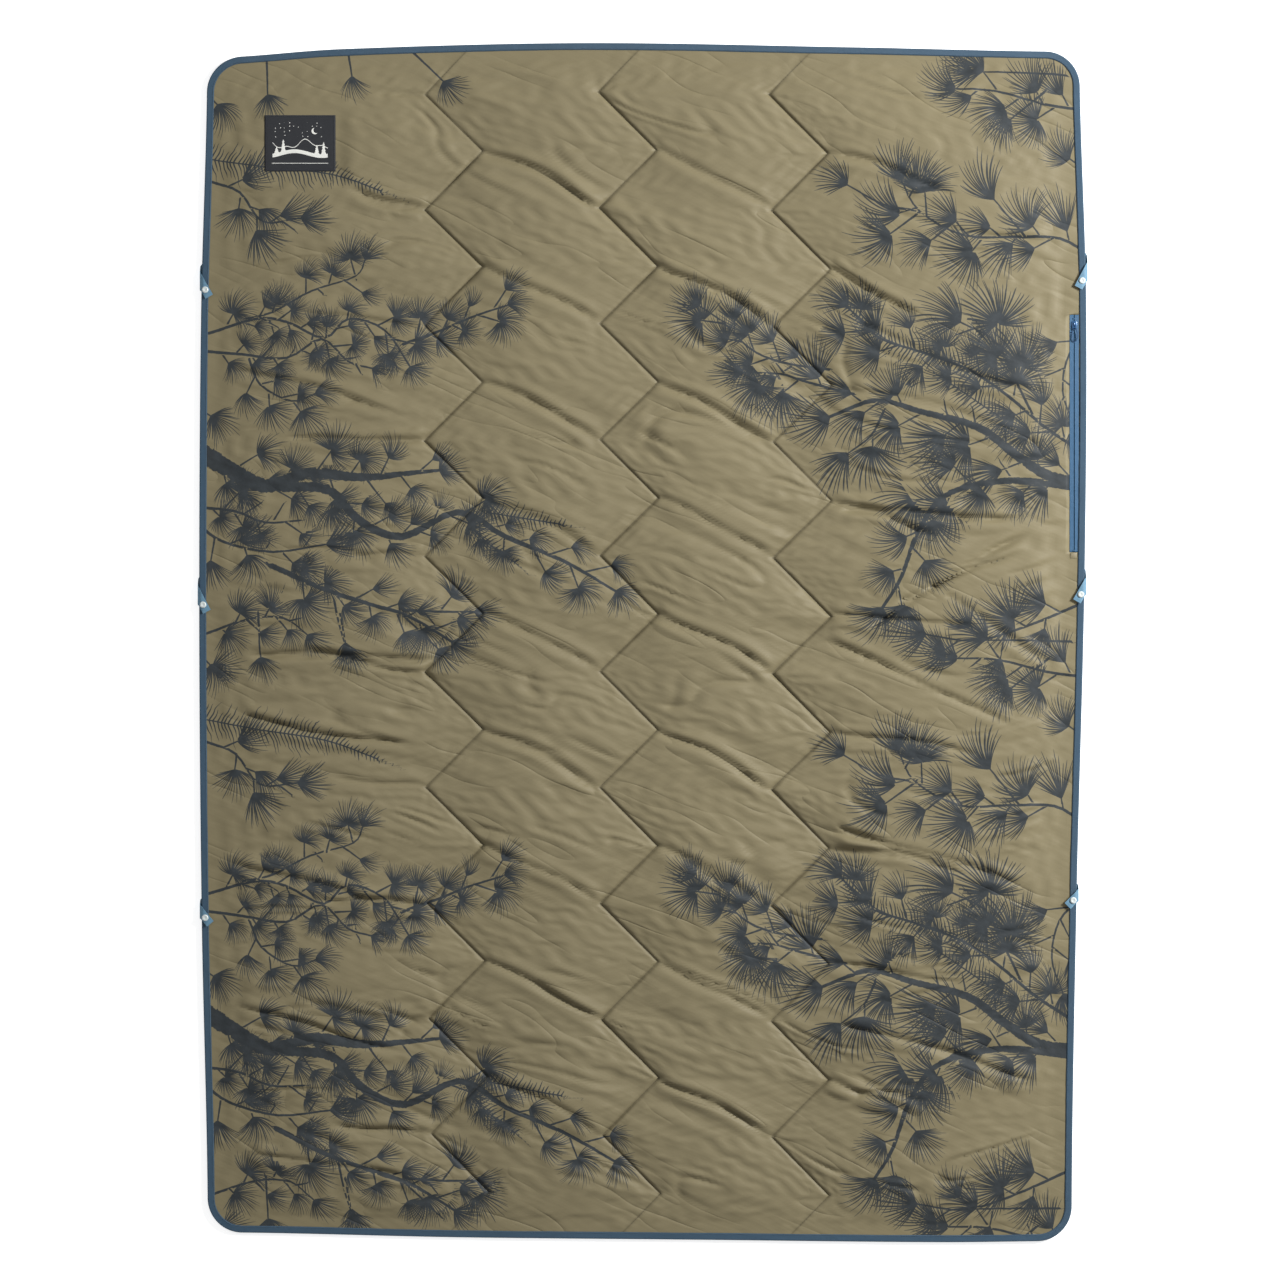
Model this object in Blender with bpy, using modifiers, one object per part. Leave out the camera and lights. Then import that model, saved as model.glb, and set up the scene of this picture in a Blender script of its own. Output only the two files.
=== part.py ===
"""A quilted camp blanket, lying flat and face up.

Lining, batting and face fabric are quilted together along three zigzag seams and bound round the
edge. Six webbing tabs fold over the edge and close with snaps, and a zip beside the right-hand
binding opens a pocket. Lengths are in metres. The origin is under the middle of the blanket, +X is
across it, +Y runs along it and +Z is up through its face.
"""

import math

import bmesh
import bpy
from mathutils import Matrix, Vector

# Outline: the size of the bound edge, and how far each side wanders from straight as it lies.
WIDTH = 1.4400
LENGTH = 1.9560
CORNER_RADIUS = 0.0570
SHIFT_X = 0.0007
SHIFT_Y = -0.0001
LEFT_SIDE = ((-0.98, 0.007), (-0.45, -0.003), (0.05, -0.007), (0.55, -0.004), (0.98, 0.006))
RIGHT_SIDE = ((-0.98, -0.018), (-0.42, -0.010), (0.10, 0.003), (0.56, 0.006), (0.98, -0.005))
TOP_SIDE = ((-0.72, -0.020), (-0.50, -0.006), (-0.10, 0.004), (0.35, -0.003), (0.72, -0.010))
BOTTOM_SIDE = ((-0.72, 0.012), (-0.30, 0.004), (0.10, 0.000), (0.50, -0.004), (0.72, -0.002))

# Quilting: three parallel zigzags, each a run of 45 degree stitches.
SEAM_MIDDLES = (-0.3054, -0.0201, 0.2610)
SEAM_LEAN = 0.0080
ZIGZAG_TOP = 0.8980
ZIGZAG_STEP = 0.0948
ZIGZAG_TURNS = 20
ZIGZAG_SWING = 0.0950
SEAM_LIP = 0.0120

# Section of the cloth, from the ground up.
FABRIC = 0.0006
GAP = 0.0003
LEDGE = 0.0240
ZIP_LEDGE = 0.0310
LEDGE_UNDER = 0.0021
LEDGE_TOP = 0.0080
SEAM_UNDER = 0.0008
SEAM_TOP = 0.0038
PUFF_TOP = 0.0145
PUFF_REACH = 0.0900
LAYER_INSET = 0.0019
TINY = 1e-6

# Edge binding, folded over all the layers.
BINDING_WIDTH = 0.0120
BINDING_TAPE = 0.0006
BINDING_LOW = 0.0012
BINDING_HIGH = 0.0089
BINDING_ROUND = 0.0013
THREAD_RADIUS = 0.00025
BINDING_STITCH_INSET = 0.0109

# Zip and the pocket behind it.
ZIP_X = 0.7062
ZIP_TOP = 0.5365
ZIP_BOTTOM = 0.1480
ZIP_TAPE_WIDTH = 0.0068
ZIP_SPLIT = 0.0014
ZIP_TAPE_LOW = 0.0075
ZIP_TAPE_THICKNESS = 0.0005
COIL_WIDTH = 0.0018
COIL_LOW = 0.0062
COIL_HEIGHT = 0.0010
COIL_TOP_END = 0.5270
COIL_BOTTOM_END = 0.1520
STOP_SIZE = (0.0044, 0.0020, 0.0007)
STOP_TOP_Y = 0.5300
STOP_BOTTOM_Y = 0.1500
PLATE_GAP_LOW = 0.0083
END_TAB_SIZE = (0.0108, 0.0090, 0.0006)
END_TAB_PLACE = (0.7054, 0.1425)
POCKET_LEFT = 0.4100
POCKET_TOP = 0.5650
POCKET_BOTTOM = 0.1000
POCKET_PANEL = 0.0005
POCKET_ROOM = 0.0016
POCKET_FLOOR = 0.0040

# Slider, its pull tab and its cord loop.
SLIDER_Y = 0.5205
SLIDER_WIDTH = 0.0090
SLIDER_LENGTH = 0.0110
SLIDER_PLATE = 0.0008
SLIDER_LOW = 0.0051
SLIDER_POST = (0.0008, 0.0030)
SLIDER_POST_Y = 0.0035
BAIL_WIDTH = 0.0012
BAIL_REACH = 0.0030
BAIL_BAR = 0.0008
BAIL_TOP = 0.0118
PULL_AXIS_Z = 0.0101
PULL_THICKNESS = 0.0008
CORD_RADIUS = 0.0006
KNOT_RADIUS = 0.0014
KNOT_PLACE = (-0.0035, -0.0123, 0.0095)
CORD_ROUTE = (
    (-0.0034, -0.0105, 0.00900),
    (-0.0031, -0.0086, 0.00890),
    (-0.0021, -0.0072, 0.00905),
    (0.0000, -0.0066, 0.01010),
    (0.0021, -0.0072, 0.01130),
    (0.0034, -0.0091, 0.01150),
    (0.0044, -0.0130, 0.01110),
    (0.0049, -0.0180, 0.01040),
    (0.0045, -0.0236, 0.00995),
    (0.0023, -0.0274, 0.00985),
    (-0.0010, -0.0279, 0.00985),
    (-0.0036, -0.0250, 0.00985),
    (-0.0041, -0.0200, 0.00980),
    (-0.0038, -0.0170, 0.00975),
    (-0.0036, -0.0141, 0.00965),
)

# Woven patch, near the upper left corner.
PATCH_MIDDLE = (-0.5600, 0.8160)
PATCH_SIZE = (0.1160, 0.0920)
PATCH_THICKNESS = 0.0006
PATCH_STITCH_INSET = 0.0025

# Snap tabs: name, side of the blanket, place of the snap along it, tilt of the webbing to the edge.
TABS = (
    ("left_top", -1, 0.5768, 30.0),
    ("left_middle", -1, 0.0618, 28.0),
    ("left_bottom", -1, -0.4501, 40.0),
    ("right_top", 1, 0.5919, 28.0),
    ("right_middle", 1, 0.0786, 30.0),
    ("right_bottom", 1, -0.4216, 45.0),
)
WEBBING_WIDTH = 0.0140
WEBBING = 0.0008
SNAP_INSET = 0.0075
STRAP_END = 0.0130
STRAP_START = 0.0004
STRAP_BEND = 0.0040
STRAP_FOLD_Z = 0.0095
STRAP_Z = 0.0122
ROOT_OUT = 0.0005
TAB_STRETCH = (0.0, 0.020, 0.045)
ROOT_REACH = 0.0095
ROOT_LOW = 0.0009
ROOT_HIGH = 0.0086
TAB_AXIS_OUT = 0.0008
TAB_AXIS_Z = 0.0093

# Snap parts, each turned about the snap's own axis: pairs of radius and height.
STUD = ((0.0, 0.0111), (0.0014, 0.0111), (0.0020, 0.0106), (0.0017, 0.0097), (0.0030, 0.0097),
        (0.0030, 0.0092), (0.0010, 0.0092), (0.0010, 0.0011), (0.0, 0.0011))
SOCKET = ((0.0023, 0.0119), (0.0038, 0.0119), (0.0042, 0.0115), (0.0042, 0.0101), (0.0023, 0.0101))
CAP = ((0.0, 0.0149), (0.0026, 0.0149), (0.0046, 0.0144), (0.0054, 0.0136), (0.0054, 0.0133),
       (0.0010, 0.0133), (0.0010, 0.0114), (0.0, 0.0114))
BACK = ((0.0, 0.0008), (0.0026, 0.0008), (0.0030, 0.0005), (0.0030, 0.0001), (0.0, 0.0001))
SNAP_SIDES = 12
POST_HOLE = 0.0013
STEM_HOLE = 0.0013

HALF_WIDTH = WIDTH / 2
HALF_LENGTH = LENGTH / 2

SLATE = (0.045, 0.088, 0.120)
NAVY = (0.016, 0.019, 0.026)
OLIVE = (0.215, 0.190, 0.112)
LINING_GREY = (0.060, 0.085, 0.100)
WHITE = (0.720, 0.740, 0.720)
ZIP_BLUE = (0.085, 0.200, 0.330)
DEEP_BLUE = (0.020, 0.060, 0.110)
WEBBING_BLUE = (0.140, 0.220, 0.270)
BATTING_WHITE = (0.700, 0.690, 0.660)
STEEL = (0.450, 0.460, 0.470)


# ---------------------------------------------------------------- helpers


def collection_named(name):
    made = bpy.data.collections.new(name)
    bpy.context.scene.collection.children.link(made)
    return made


def material_named(name, colour, roughness, metallic=0.0):
    made = bpy.data.materials.get(name)
    if made:
        return made
    made = bpy.data.materials.new(name)
    made.use_nodes = True
    shader = made.node_tree.nodes["Principled BSDF"]
    shader.inputs["Base Color"].default_value = (*colour, 1)
    shader.inputs["Roughness"].default_value = roughness
    shader.inputs["Metallic"].default_value = metallic
    return made


def object_from(name, data, group, material=None):
    made = bpy.data.objects.new(name, data)
    group.objects.link(made)
    if material:
        data.materials.append(material)
    return made


def object_from_bmesh(name, shape, group, material=None):
    bmesh.ops.recalc_face_normals(shape, faces=shape.faces)
    mesh = bpy.data.meshes.new(name)
    shape.to_mesh(mesh)
    shape.free()
    return object_from(name, mesh, group, material)


def cutter_from(made):
    made.hide_render = True
    made.display_type = "WIRE"
    return made


def box(name, middle, size, group, material=None, bevel=0.0):
    shape = bmesh.new()
    bmesh.ops.create_cube(shape, size=1.0, matrix=Matrix.Diagonal((*size, 1)))
    made = object_from_bmesh(name, shape, group, material)
    made.location = middle
    if bevel:
        rounding = made.modifiers.new("rounding", "BEVEL")
        rounding.width = bevel
        rounding.segments = 2
    return made


def boolean(made, other, operation):
    modifier = made.modifiers.new(operation.lower(), "BOOLEAN")
    modifier.operation = operation
    modifier.object = other
    modifier.solver = "EXACT"


def smoothstep(value):
    value = min(max(value, 0.0), 1.0)
    return value * value * (3 - 2 * value)


def through(knots, at):
    """The smooth curve through the knots (Catmull-Rom with flat ends), read at a place."""
    places = [knot[0] for knot in knots]
    values = [knot[1] for knot in knots]
    at = min(max(at, places[0]), places[-1])
    last = len(knots) - 1
    i = min(sum(place <= at for place in places[1:]), last - 1)
    slopes = []
    for j in (i, i + 1):
        if j in (0, last):
            slopes.append(0.0)
        else:
            slopes.append((values[j + 1] - values[j - 1]) / (places[j + 1] - places[j - 1]))
    span = places[i + 1] - places[i]
    f = (at - places[i]) / span
    ease = smoothstep(f)
    start = slopes[0] * span * f * (1 - f) ** 2
    end = slopes[1] * span * f * f * (1 - f)
    return values[i] * (1 - ease) + values[i + 1] * ease + start - end


# ---------------------------------------------------------------- the cloth's shape


def plan(s, t, inset=LAYER_INSET):
    """Where the point (s, t) of the flat cloth lies, with its corners rounded and its sides bowed.

    The corners round off a rectangle this far inside the blanket's edge.
    """
    radius = CORNER_RADIUS - inset
    over_s = max(0.0, (abs(s) - HALF_WIDTH + CORNER_RADIUS) / radius)
    over_t = max(0.0, (abs(t) - HALF_LENGTH + CORNER_RADIUS) / radius)
    pull_s = radius * over_s * (1 - math.sqrt(1 - over_t**2 / 2))
    pull_t = radius * over_t * (1 - math.sqrt(1 - over_s**2 / 2))
    s -= math.copysign(pull_s, s)
    t -= math.copysign(pull_t, t)
    across = (s / HALF_WIDTH + 1) / 2
    along = (t / HALF_LENGTH + 1) / 2
    x = s + (1 - across) * through(LEFT_SIDE, t) + across * through(RIGHT_SIDE, t)
    y = t + (1 - along) * through(BOTTOM_SIDE, s) + along * through(TOP_SIDE, s)
    return x + SHIFT_X, y + SHIFT_Y


def seam_at(middle, t):
    phase = (ZIGZAG_TOP - t) / ZIGZAG_STEP % 2
    return middle - SEAM_LEAN * t + ZIGZAG_SWING * (0.5 - abs(phase - 1))


def edge_distance(s, t):
    return min(HALF_WIDTH - abs(s), HALF_LENGTH - abs(t))


def rise(s, t):
    """0 on the flat ledge round the edge, and 1 where the blanket is as thick as its quilting lets it."""
    ledge = ZIP_LEDGE if HALF_WIDTH - s <= CORNER_RADIUS else LEDGE
    return smoothstep((edge_distance(s, t) - ledge) / (CORNER_RADIUS - ledge))


def seam_distance(s, t):
    return min(abs(s - seam_at(middle, t)) for middle in SEAM_MIDDLES)


def face_top(s, t):
    swell = min(1.0, seam_distance(s, t) / PUFF_REACH) ** 0.25
    return LEDGE_TOP + (SEAM_TOP + (PUFF_TOP - SEAM_TOP) * swell - LEDGE_TOP) * rise(s, t)


def lining_low(s, t):
    at_seam = 1 - min(1.0, seam_distance(s, t) / SEAM_LIP)
    return LEDGE_UNDER * (1 - rise(s, t)) + SEAM_UNDER * at_seam * rise(s, t)


def in_pocket(s, t):
    return s > POCKET_LEFT - TINY and POCKET_BOTTOM - TINY < t < POCKET_TOP + TINY


def batting_top(s, t):
    top = face_top(s, t) - FABRIC - GAP
    if not in_pocket(s, t):
        return top
    return top - POCKET_ROOM if HALF_WIDTH - s > ZIP_LEDGE + TINY else POCKET_FLOOR


def columns_at(t):
    left = [-HALF_WIDTH + inset for inset in (LAYER_INSET, LEDGE, CORNER_RADIUS)]
    right = [HALF_WIDTH - inset for inset in (CORNER_RADIUS, ZIP_LEDGE, LEDGE, LAYER_INSET)]
    seams = [seam_at(middle, t) for middle in SEAM_MIDDLES]
    middle = []
    for seam, following in zip(seams, seams[1:] + [None]):
        middle += [seam - SEAM_LIP, seam, seam + SEAM_LIP]
        if following:
            middle.append((seam + following) / 2)
    return left + [-0.50] + middle + [POCKET_LEFT] + right


def all_rows():
    ends = [HALF_LENGTH - inset for inset in (CORNER_RADIUS, LEDGE, LAYER_INSET)]
    turns = [ZIGZAG_TOP - ZIGZAG_STEP * turn for turn in range(ZIGZAG_TURNS)]
    return sorted(ends + [-end for end in ends] + turns + [POCKET_TOP, POCKET_BOTTOM])


def slab(name, rows, columns, low, high, group, material):
    """A closed sheet over the rows and columns, between two heights given as functions of the place."""
    across = len(columns(rows[0])) - 1
    along = len(rows) - 1
    shape = bmesh.new()
    bmesh.ops.create_grid(shape, x_segments=across, y_segments=along, size=0.5)
    bmesh.ops.triangulate(shape, faces=shape.faces, quad_method="FIXED")
    grown = bmesh.ops.extrude_face_region(shape, geom=shape.faces[:])["geom"]
    lifted = [item for item in grown if isinstance(item, bmesh.types.BMVert)]
    bmesh.ops.translate(shape, verts=lifted, vec=(0, 0, 1))
    for vertex in shape.verts:
        t = rows[round((vertex.co.y + 0.5) * along)]
        s = columns(t)[round((vertex.co.x + 0.5) * across)]
        height = high if vertex.co.z > 0.5 else low
        vertex.co = (*plan(s, t), height(s, t))
    return object_from_bmesh(name, shape, group, material)


# ---------------------------------------------------------------- curves


def poly_curve(name, points, cyclic, group):
    data = bpy.data.curves.new(name, "CURVE")
    data.dimensions = "3D"
    data.twist_mode = "Z_UP"
    spline = data.splines.new("POLY")
    spline.points.add(len(points) - 1)
    for point, place in zip(spline.points, points):
        point.co = (*place, 1)
    spline.use_cyclic_u = cyclic
    made = bpy.data.objects.new(name, data)
    group.objects.link(made)
    return made


def thread(name, points, cyclic, group, material, radius=THREAD_RADIUS):
    made = poly_curve(name, points, cyclic, group)
    made.data.bevel_depth = radius
    made.data.bevel_resolution = 0
    made.data.use_fill_caps = True
    made.data.materials.append(material)
    return made


def smooth_route(points, steps):
    """The points of a centripetal curve through the route."""
    places = [Vector(point) for point in points]
    places = [2 * places[0] - places[1], *places, 2 * places[-1] - places[-2]]
    found = []
    for a, b, c, d in zip(places, places[1:], places[2:], places[3:]):
        for step in range(steps):
            f = step / steps
            found.append(
                0.5 * (2 * b + (c - a) * f + (2 * a - 5 * b + 4 * c - d) * f**2
                       + (3 * b - a - 3 * c + d) * f**3)
            )
    return found + [places[-2]]


def perimeter(inset, z, skip_lips=True):
    """The blanket's outline, this far inside its edge, anticlockwise from the lower left corner."""
    rows = all_rows()
    rows[0] = -HALF_LENGTH + inset
    rows[-1] = HALF_LENGTH - inset

    def row_points(t):
        columns = columns_at(t)
        columns[0] = -HALF_WIDTH + inset
        columns[-1] = HALF_WIDTH - inset
        seams = [seam_at(middle, t) for middle in SEAM_MIDDLES]
        lips = [seam + side * SEAM_LIP for seam in seams for side in (-1, 1)]
        if skip_lips:
            columns = [s for s in columns if min(abs(s - lip) for lip in lips) > TINY]
        return [(s, t) for s in columns]

    lower = row_points(rows[0])
    upper = row_points(rows[-1])
    right = [(HALF_WIDTH - inset, t) for t in rows[1:-1]]
    left = [(-HALF_WIDTH + inset, t) for t in rows[1:-1]]
    return [(*plan(s, t, inset), z) for s, t in lower + right + upper[::-1] + left[::-1]]


# ---------------------------------------------------------------- sub-parts


def make_layers(parts, cutters):
    fabric = material_named("face_fabric", OLIVE, 0.45)
    lining_cloth = material_named("lining_fabric", LINING_GREY, 0.5)
    wadding = material_named("batting", BATTING_WHITE, 0.95)
    rows = all_rows()

    def over_lining(s, t):
        return lining_low(s, t) + FABRIC

    def batting_low(s, t):
        return over_lining(s, t) + GAP

    def face_low(s, t):
        return face_top(s, t) - FABRIC

    layers = [
        slab("lining", rows, columns_at, lining_low, over_lining, parts, lining_cloth),
        slab("insulation", rows, columns_at, batting_low, batting_top, parts, wadding),
        slab("face_fabric", rows, columns_at, face_low, face_top, parts, fabric),
    ]
    window = box(
        "zip_window",
        (ZIP_X, (ZIP_TOP + ZIP_BOTTOM) / 2, ZIP_TAPE_LOW),
        (2 * (ZIP_TAPE_WIDTH + GAP) + ZIP_SPLIT, ZIP_TOP - ZIP_BOTTOM + 2 * GAP, 0.006),
        cutters,
    )
    boolean(layers[2], cutter_from(window), "DIFFERENCE")
    return layers


def make_pocket(parts):
    cloth = material_named("pocket_fabric", SLATE, 0.6)
    rows = [t for t in all_rows() if POCKET_BOTTOM - TINY < t < POCKET_TOP + TINY]

    def back_columns(t):
        return [s for s in columns_at(t) if s > POCKET_LEFT - TINY][:-1] + [HALF_WIDTH - 0.004]

    def front_columns(t):
        return [s for s in back_columns(t) if s < HALF_WIDTH - ZIP_LEDGE + TINY]

    def back_low(s, t):
        return batting_top(s, t) + GAP

    def back_high(s, t):
        return back_low(s, t) + POCKET_PANEL

    def front_high(s, t):
        return face_top(s, t) - FABRIC - GAP

    def front_low(s, t):
        return front_high(s, t) - POCKET_PANEL

    slab("pocket_back", rows, back_columns, back_low, back_high, parts, cloth)
    slab("pocket_front", rows, front_columns, front_low, front_high, parts, cloth)


def make_binding(parts, cutters):
    top = BINDING_HIGH
    low = BINDING_LOW
    tape = BINDING_TAPE
    soft = BINDING_ROUND
    wide = BINDING_WIDTH
    outer = [(wide, top), (soft, top), (0, top - soft), (0, low + soft), (soft, low), (wide, low)]
    inner = [(wide, low + tape), (soft + tape / 2, low + tape), (tape, low + soft + tape / 2)]
    inner += [(x, top + low - z) for x, z in reversed(inner)]
    section = poly_curve("binding_section", [(-x, z, 0) for x, z in outer + inner], True, cutters)
    section.data.dimensions = "2D"
    cutter_from(section)
    sweep = poly_curve("binding_sweep", perimeter(0.0, 0.0), True, cutters)
    sweep.data.bevel_mode = "OBJECT"
    sweep.data.bevel_object = section
    bpy.context.view_layer.update()
    graph = bpy.context.evaluated_depsgraph_get()
    mesh = bpy.data.meshes.new_from_object(sweep.evaluated_get(graph))
    shape = bmesh.new()
    shape.from_mesh(mesh)
    bmesh.ops.remove_doubles(shape, verts=shape.verts, dist=1e-6)
    bpy.data.objects.remove(sweep)
    return object_from_bmesh(
        "edge_binding", shape, parts, material_named("binding_tape", SLATE, 0.7)
    )


def make_threads(parts):
    stitching = material_named("binding_thread", SLATE, 0.7)
    quilting = material_named("quilting_thread", (0.10, 0.095, 0.07), 0.7)
    over = BINDING_HIGH + GAP + THREAD_RADIUS
    thread("binding_stitch", perimeter(BINDING_STITCH_INSET, over), True, parts, stitching)
    for number, middle in enumerate(SEAM_MIDDLES, 1):
        route = []
        for t in all_rows():
            if HALF_LENGTH - abs(t) < LEDGE - TINY:
                continue
            s = seam_at(middle, t)
            route.append((*plan(s, t), face_top(s, t) + GAP + THREAD_RADIUS))
        thread(f"quilting_thread_{number}", route, False, parts, quilting)


def make_zip(parts, cutters):
    tape = material_named("zip_tape", ZIP_BLUE, 0.55)
    nylon = material_named("zip_coil", ZIP_BLUE, 0.4)
    for name, side in (("inner", -1), ("outer", 1)):
        middle = ZIP_X + side * (ZIP_SPLIT + ZIP_TAPE_WIDTH) / 2
        size = (ZIP_TAPE_WIDTH, ZIP_TOP - ZIP_BOTTOM, ZIP_TAPE_THICKNESS)
        along = (ZIP_TOP + ZIP_BOTTOM) / 2
        box(f"zip_tape_{name}", (middle, along, ZIP_TAPE_LOW + size[2] / 2), size, parts, tape)
        middle = ZIP_X + side * (ZIP_SPLIT + COIL_WIDTH) / 2
        size = (COIL_WIDTH, COIL_TOP_END - COIL_BOTTOM_END, COIL_HEIGHT)
        along = (COIL_TOP_END + COIL_BOTTOM_END) / 2
        box(f"zip_coil_{name}", (middle, along, COIL_LOW + size[2] / 2), size, parts, nylon, 0.0003)
    for name, y in (("top", STOP_TOP_Y), ("bottom", STOP_BOTTOM_Y)):
        place = (ZIP_X, y, PLATE_GAP_LOW + STOP_SIZE[2] / 2)
        box(f"zip_{name}_stop", place, STOP_SIZE, parts, nylon, 0.0002)
    place = (*END_TAB_PLACE, PLATE_GAP_LOW + END_TAB_SIZE[2] / 2)
    box("zip_end_tab", place, END_TAB_SIZE, parts, material_named("face_fabric", OLIVE, 0.45))
    make_slider(parts, cutters)
    make_pull(parts)


def make_slider(parts, cutters):
    metal = material_named("slider", DEEP_BLUE, 0.35, 0.6)
    plate = (SLIDER_WIDTH, SLIDER_LENGTH, SLIDER_PLATE)
    top_plate_z = PLATE_GAP_LOW + SLIDER_PLATE / 2
    slider = box("zip_slider", (ZIP_X, SLIDER_Y, top_plate_z), plate, parts, metal)
    low_plate_z = SLIDER_LOW + SLIDER_PLATE / 2
    lower = box("slider_lower", (ZIP_X, SLIDER_Y, low_plate_z), plate, cutters)
    post_middle = (ZIP_X, SLIDER_Y + SLIDER_POST_Y, (low_plate_z + top_plate_z) / 2)
    post = box("slider_post", post_middle, (*SLIDER_POST, top_plate_z - low_plate_z), cutters)
    bail = bail_arch(cutters)
    for other in (post, lower, bail):
        boolean(slider, cutter_from(other), "UNION")


def bail_arch(cutters):
    """A flat arch standing along the slider, whose feet are sunk into the upper plate."""
    foot = PLATE_GAP_LOW + SLIDER_PLATE / 2
    reach = BAIL_REACH
    outside = [(reach, foot), (reach, BAIL_TOP - 0.0010), (reach - 0.0010, BAIL_TOP)]
    outside += [(-y, z) for y, z in reversed(outside)]
    bar = BAIL_BAR
    inside = [(-reach + bar, foot), (-reach + bar, BAIL_TOP - 0.0013), (-reach + 0.0013, BAIL_TOP - bar)]
    inside += [(-y, z) for y, z in reversed(inside)]
    shape = bmesh.new()
    corners = [shape.verts.new((-BAIL_WIDTH / 2, y, z)) for y, z in outside + inside]
    face = shape.faces.new(corners)
    grown = bmesh.ops.extrude_face_region(shape, geom=[face])["geom"]
    lifted = [item for item in grown if isinstance(item, bmesh.types.BMVert)]
    bmesh.ops.translate(shape, verts=lifted, vec=(BAIL_WIDTH, 0, 0))
    made = object_from_bmesh("slider_bail", shape, cutters)
    made.location = (ZIP_X, SLIDER_Y, 0)
    return made


def rounded_outline(x, low, high, corner, sides=4):
    """A rectangle from low to high in y and from -x to x, with round corners."""
    points = []
    centres = ((x - corner, high - corner, 0), (corner - x, high - corner, 90),
               (corner - x, low + corner, 180), (x - corner, low + corner, 270))
    for cx, cy, start in centres:
        for step in range(sides + 1):
            angle = math.radians(start + 90 * step / sides)
            points.append((cx + corner * math.cos(angle), cy + corner * math.sin(angle), 0))
    return points


def make_pull(parts):
    metal = material_named("slider", DEEP_BLUE, 0.35, 0.6)
    cord_finish = material_named("pull_cord", DEEP_BLUE, 0.7)
    tab = poly_curve("zip_pull_tab", rounded_outline(0.0032, -0.0088, 0.0006, 0.0005), True, parts)
    tab.data.dimensions = "2D"
    for opening in (
        rounded_outline(0.0011, -0.0041, -0.0005, 0.0003, 2),
        rounded_outline(0.0021, -0.0078, -0.0054, 0.0010, 3),
    ):
        spline = tab.data.splines.new("POLY")
        spline.points.add(len(opening) - 1)
        for point, place in zip(spline.points, opening):
            point.co = (*place, 1)
        spline.use_cyclic_u = True
    tab.data.fill_mode = "BOTH"
    tab.data.extrude = PULL_THICKNESS / 2
    tab.data.materials.append(metal)
    tab.location = (ZIP_X, SLIDER_Y, PULL_AXIS_Z)
    route = [Vector(point) - Vector((0, 0, PULL_AXIS_Z)) for point in CORD_ROUTE]
    cord = poly_curve("zip_pull_cord", smooth_route(route, 3), False, parts)
    cord.data.bevel_depth = CORD_RADIUS
    cord.data.bevel_resolution = 2
    cord.data.use_fill_caps = True
    cord.data.materials.append(cord_finish)
    cord.location = tab.location
    shape = bmesh.new()
    place = Vector(KNOT_PLACE) - Vector((0, 0, PULL_AXIS_Z))
    bmesh.ops.create_icosphere(
        shape, subdivisions=2, radius=KNOT_RADIUS, matrix=Matrix.Translation(place)
    )
    knot = object_from_bmesh("pull_cord_knot", shape, parts, cord_finish)
    knot.location = tab.location


def make_patch(parts):
    x, y = PATCH_MIDDLE
    low = PUFF_TOP + GAP
    size = (*PATCH_SIZE, PATCH_THICKNESS)
    woven = material_named("woven_patch", NAVY, 0.75)
    box("woven_patch", (x, y, low + PATCH_THICKNESS / 2), size, parts, woven)
    over = low + PATCH_THICKNESS + GAP + THREAD_RADIUS
    half_x = PATCH_SIZE[0] / 2 - PATCH_STITCH_INSET
    half_y = PATCH_SIZE[1] / 2 - PATCH_STITCH_INSET
    corners = ((-1, -1), (1, -1), (1, 1), (-1, 1))
    route = [(x + a * half_x, y + b * half_y, over) for a, b in corners]
    thread("patch_stitch", route, True, parts, material_named("patch_thread", NAVY, 0.7))


# ---------------------------------------------------------------- snap tabs


def edge_x(side, y):
    """The furthest out that this side's edge reaches beside a tab whose snap is at y."""
    reach = [plan(side * HALF_WIDTH, y + step, 0.0)[0] for step in TAB_STRETCH]
    return side * max(side * x for x in reach)


def turned(name, profile, place, group, material):
    """A part turned about an upright axis, from a profile that runs down its outer side."""
    mesh = bpy.data.meshes.new(name)
    edges = [(i, i + 1) for i in range(len(profile) - 1)]
    if profile[0][0] > 0:
        edges.append((len(profile) - 1, 0))
    mesh.from_pydata([(radius, 0, z) for radius, z in profile], edges, [])
    made = object_from(name, mesh, group, material)
    made.location = (*place, 0)
    screw = made.modifiers.new("turning", "SCREW")
    screw.axis = "Z"
    screw.steps = SNAP_SIDES
    screw.render_steps = SNAP_SIDES
    screw.use_merge_vertices = True
    screw.merge_threshold = 1e-5
    screw.use_smooth_shade = False
    return made


def hole_cutter(name, place, radius, low, high, group):
    shape = bmesh.new()
    bmesh.ops.create_cone(
        shape, cap_ends=True, segments=8, radius1=radius, radius2=radius, depth=high - low
    )
    made = object_from_bmesh(name, shape, group)
    made.location = (*place, (low + high) / 2)
    return cutter_from(made)


def webbing_piece(name, stations, place, side, group, material):
    """Webbing lofted through stations: two (inward, along, height) points across its inner face, and
    the step out to its outer face."""
    shape = bmesh.new()
    rings = []
    for pair, (step_i, step_z) in stations:
        ring = [*pair, *[(i + step_i, y, z + step_z) for i, y, z in reversed(pair)]]
        rings.append([shape.verts.new((-side * i, y, z)) for i, y, z in ring])
    for ring, following in zip(rings, rings[1:]):
        for corner in range(4):
            after = (corner + 1) % 4
            shape.faces.new((ring[corner], ring[after], following[after], following[corner]))
    shape.faces.new(rings[0])
    shape.faces.new(rings[-1][::-1])
    made = object_from_bmesh(name, shape, group, material)
    made.location = place
    return made


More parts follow.
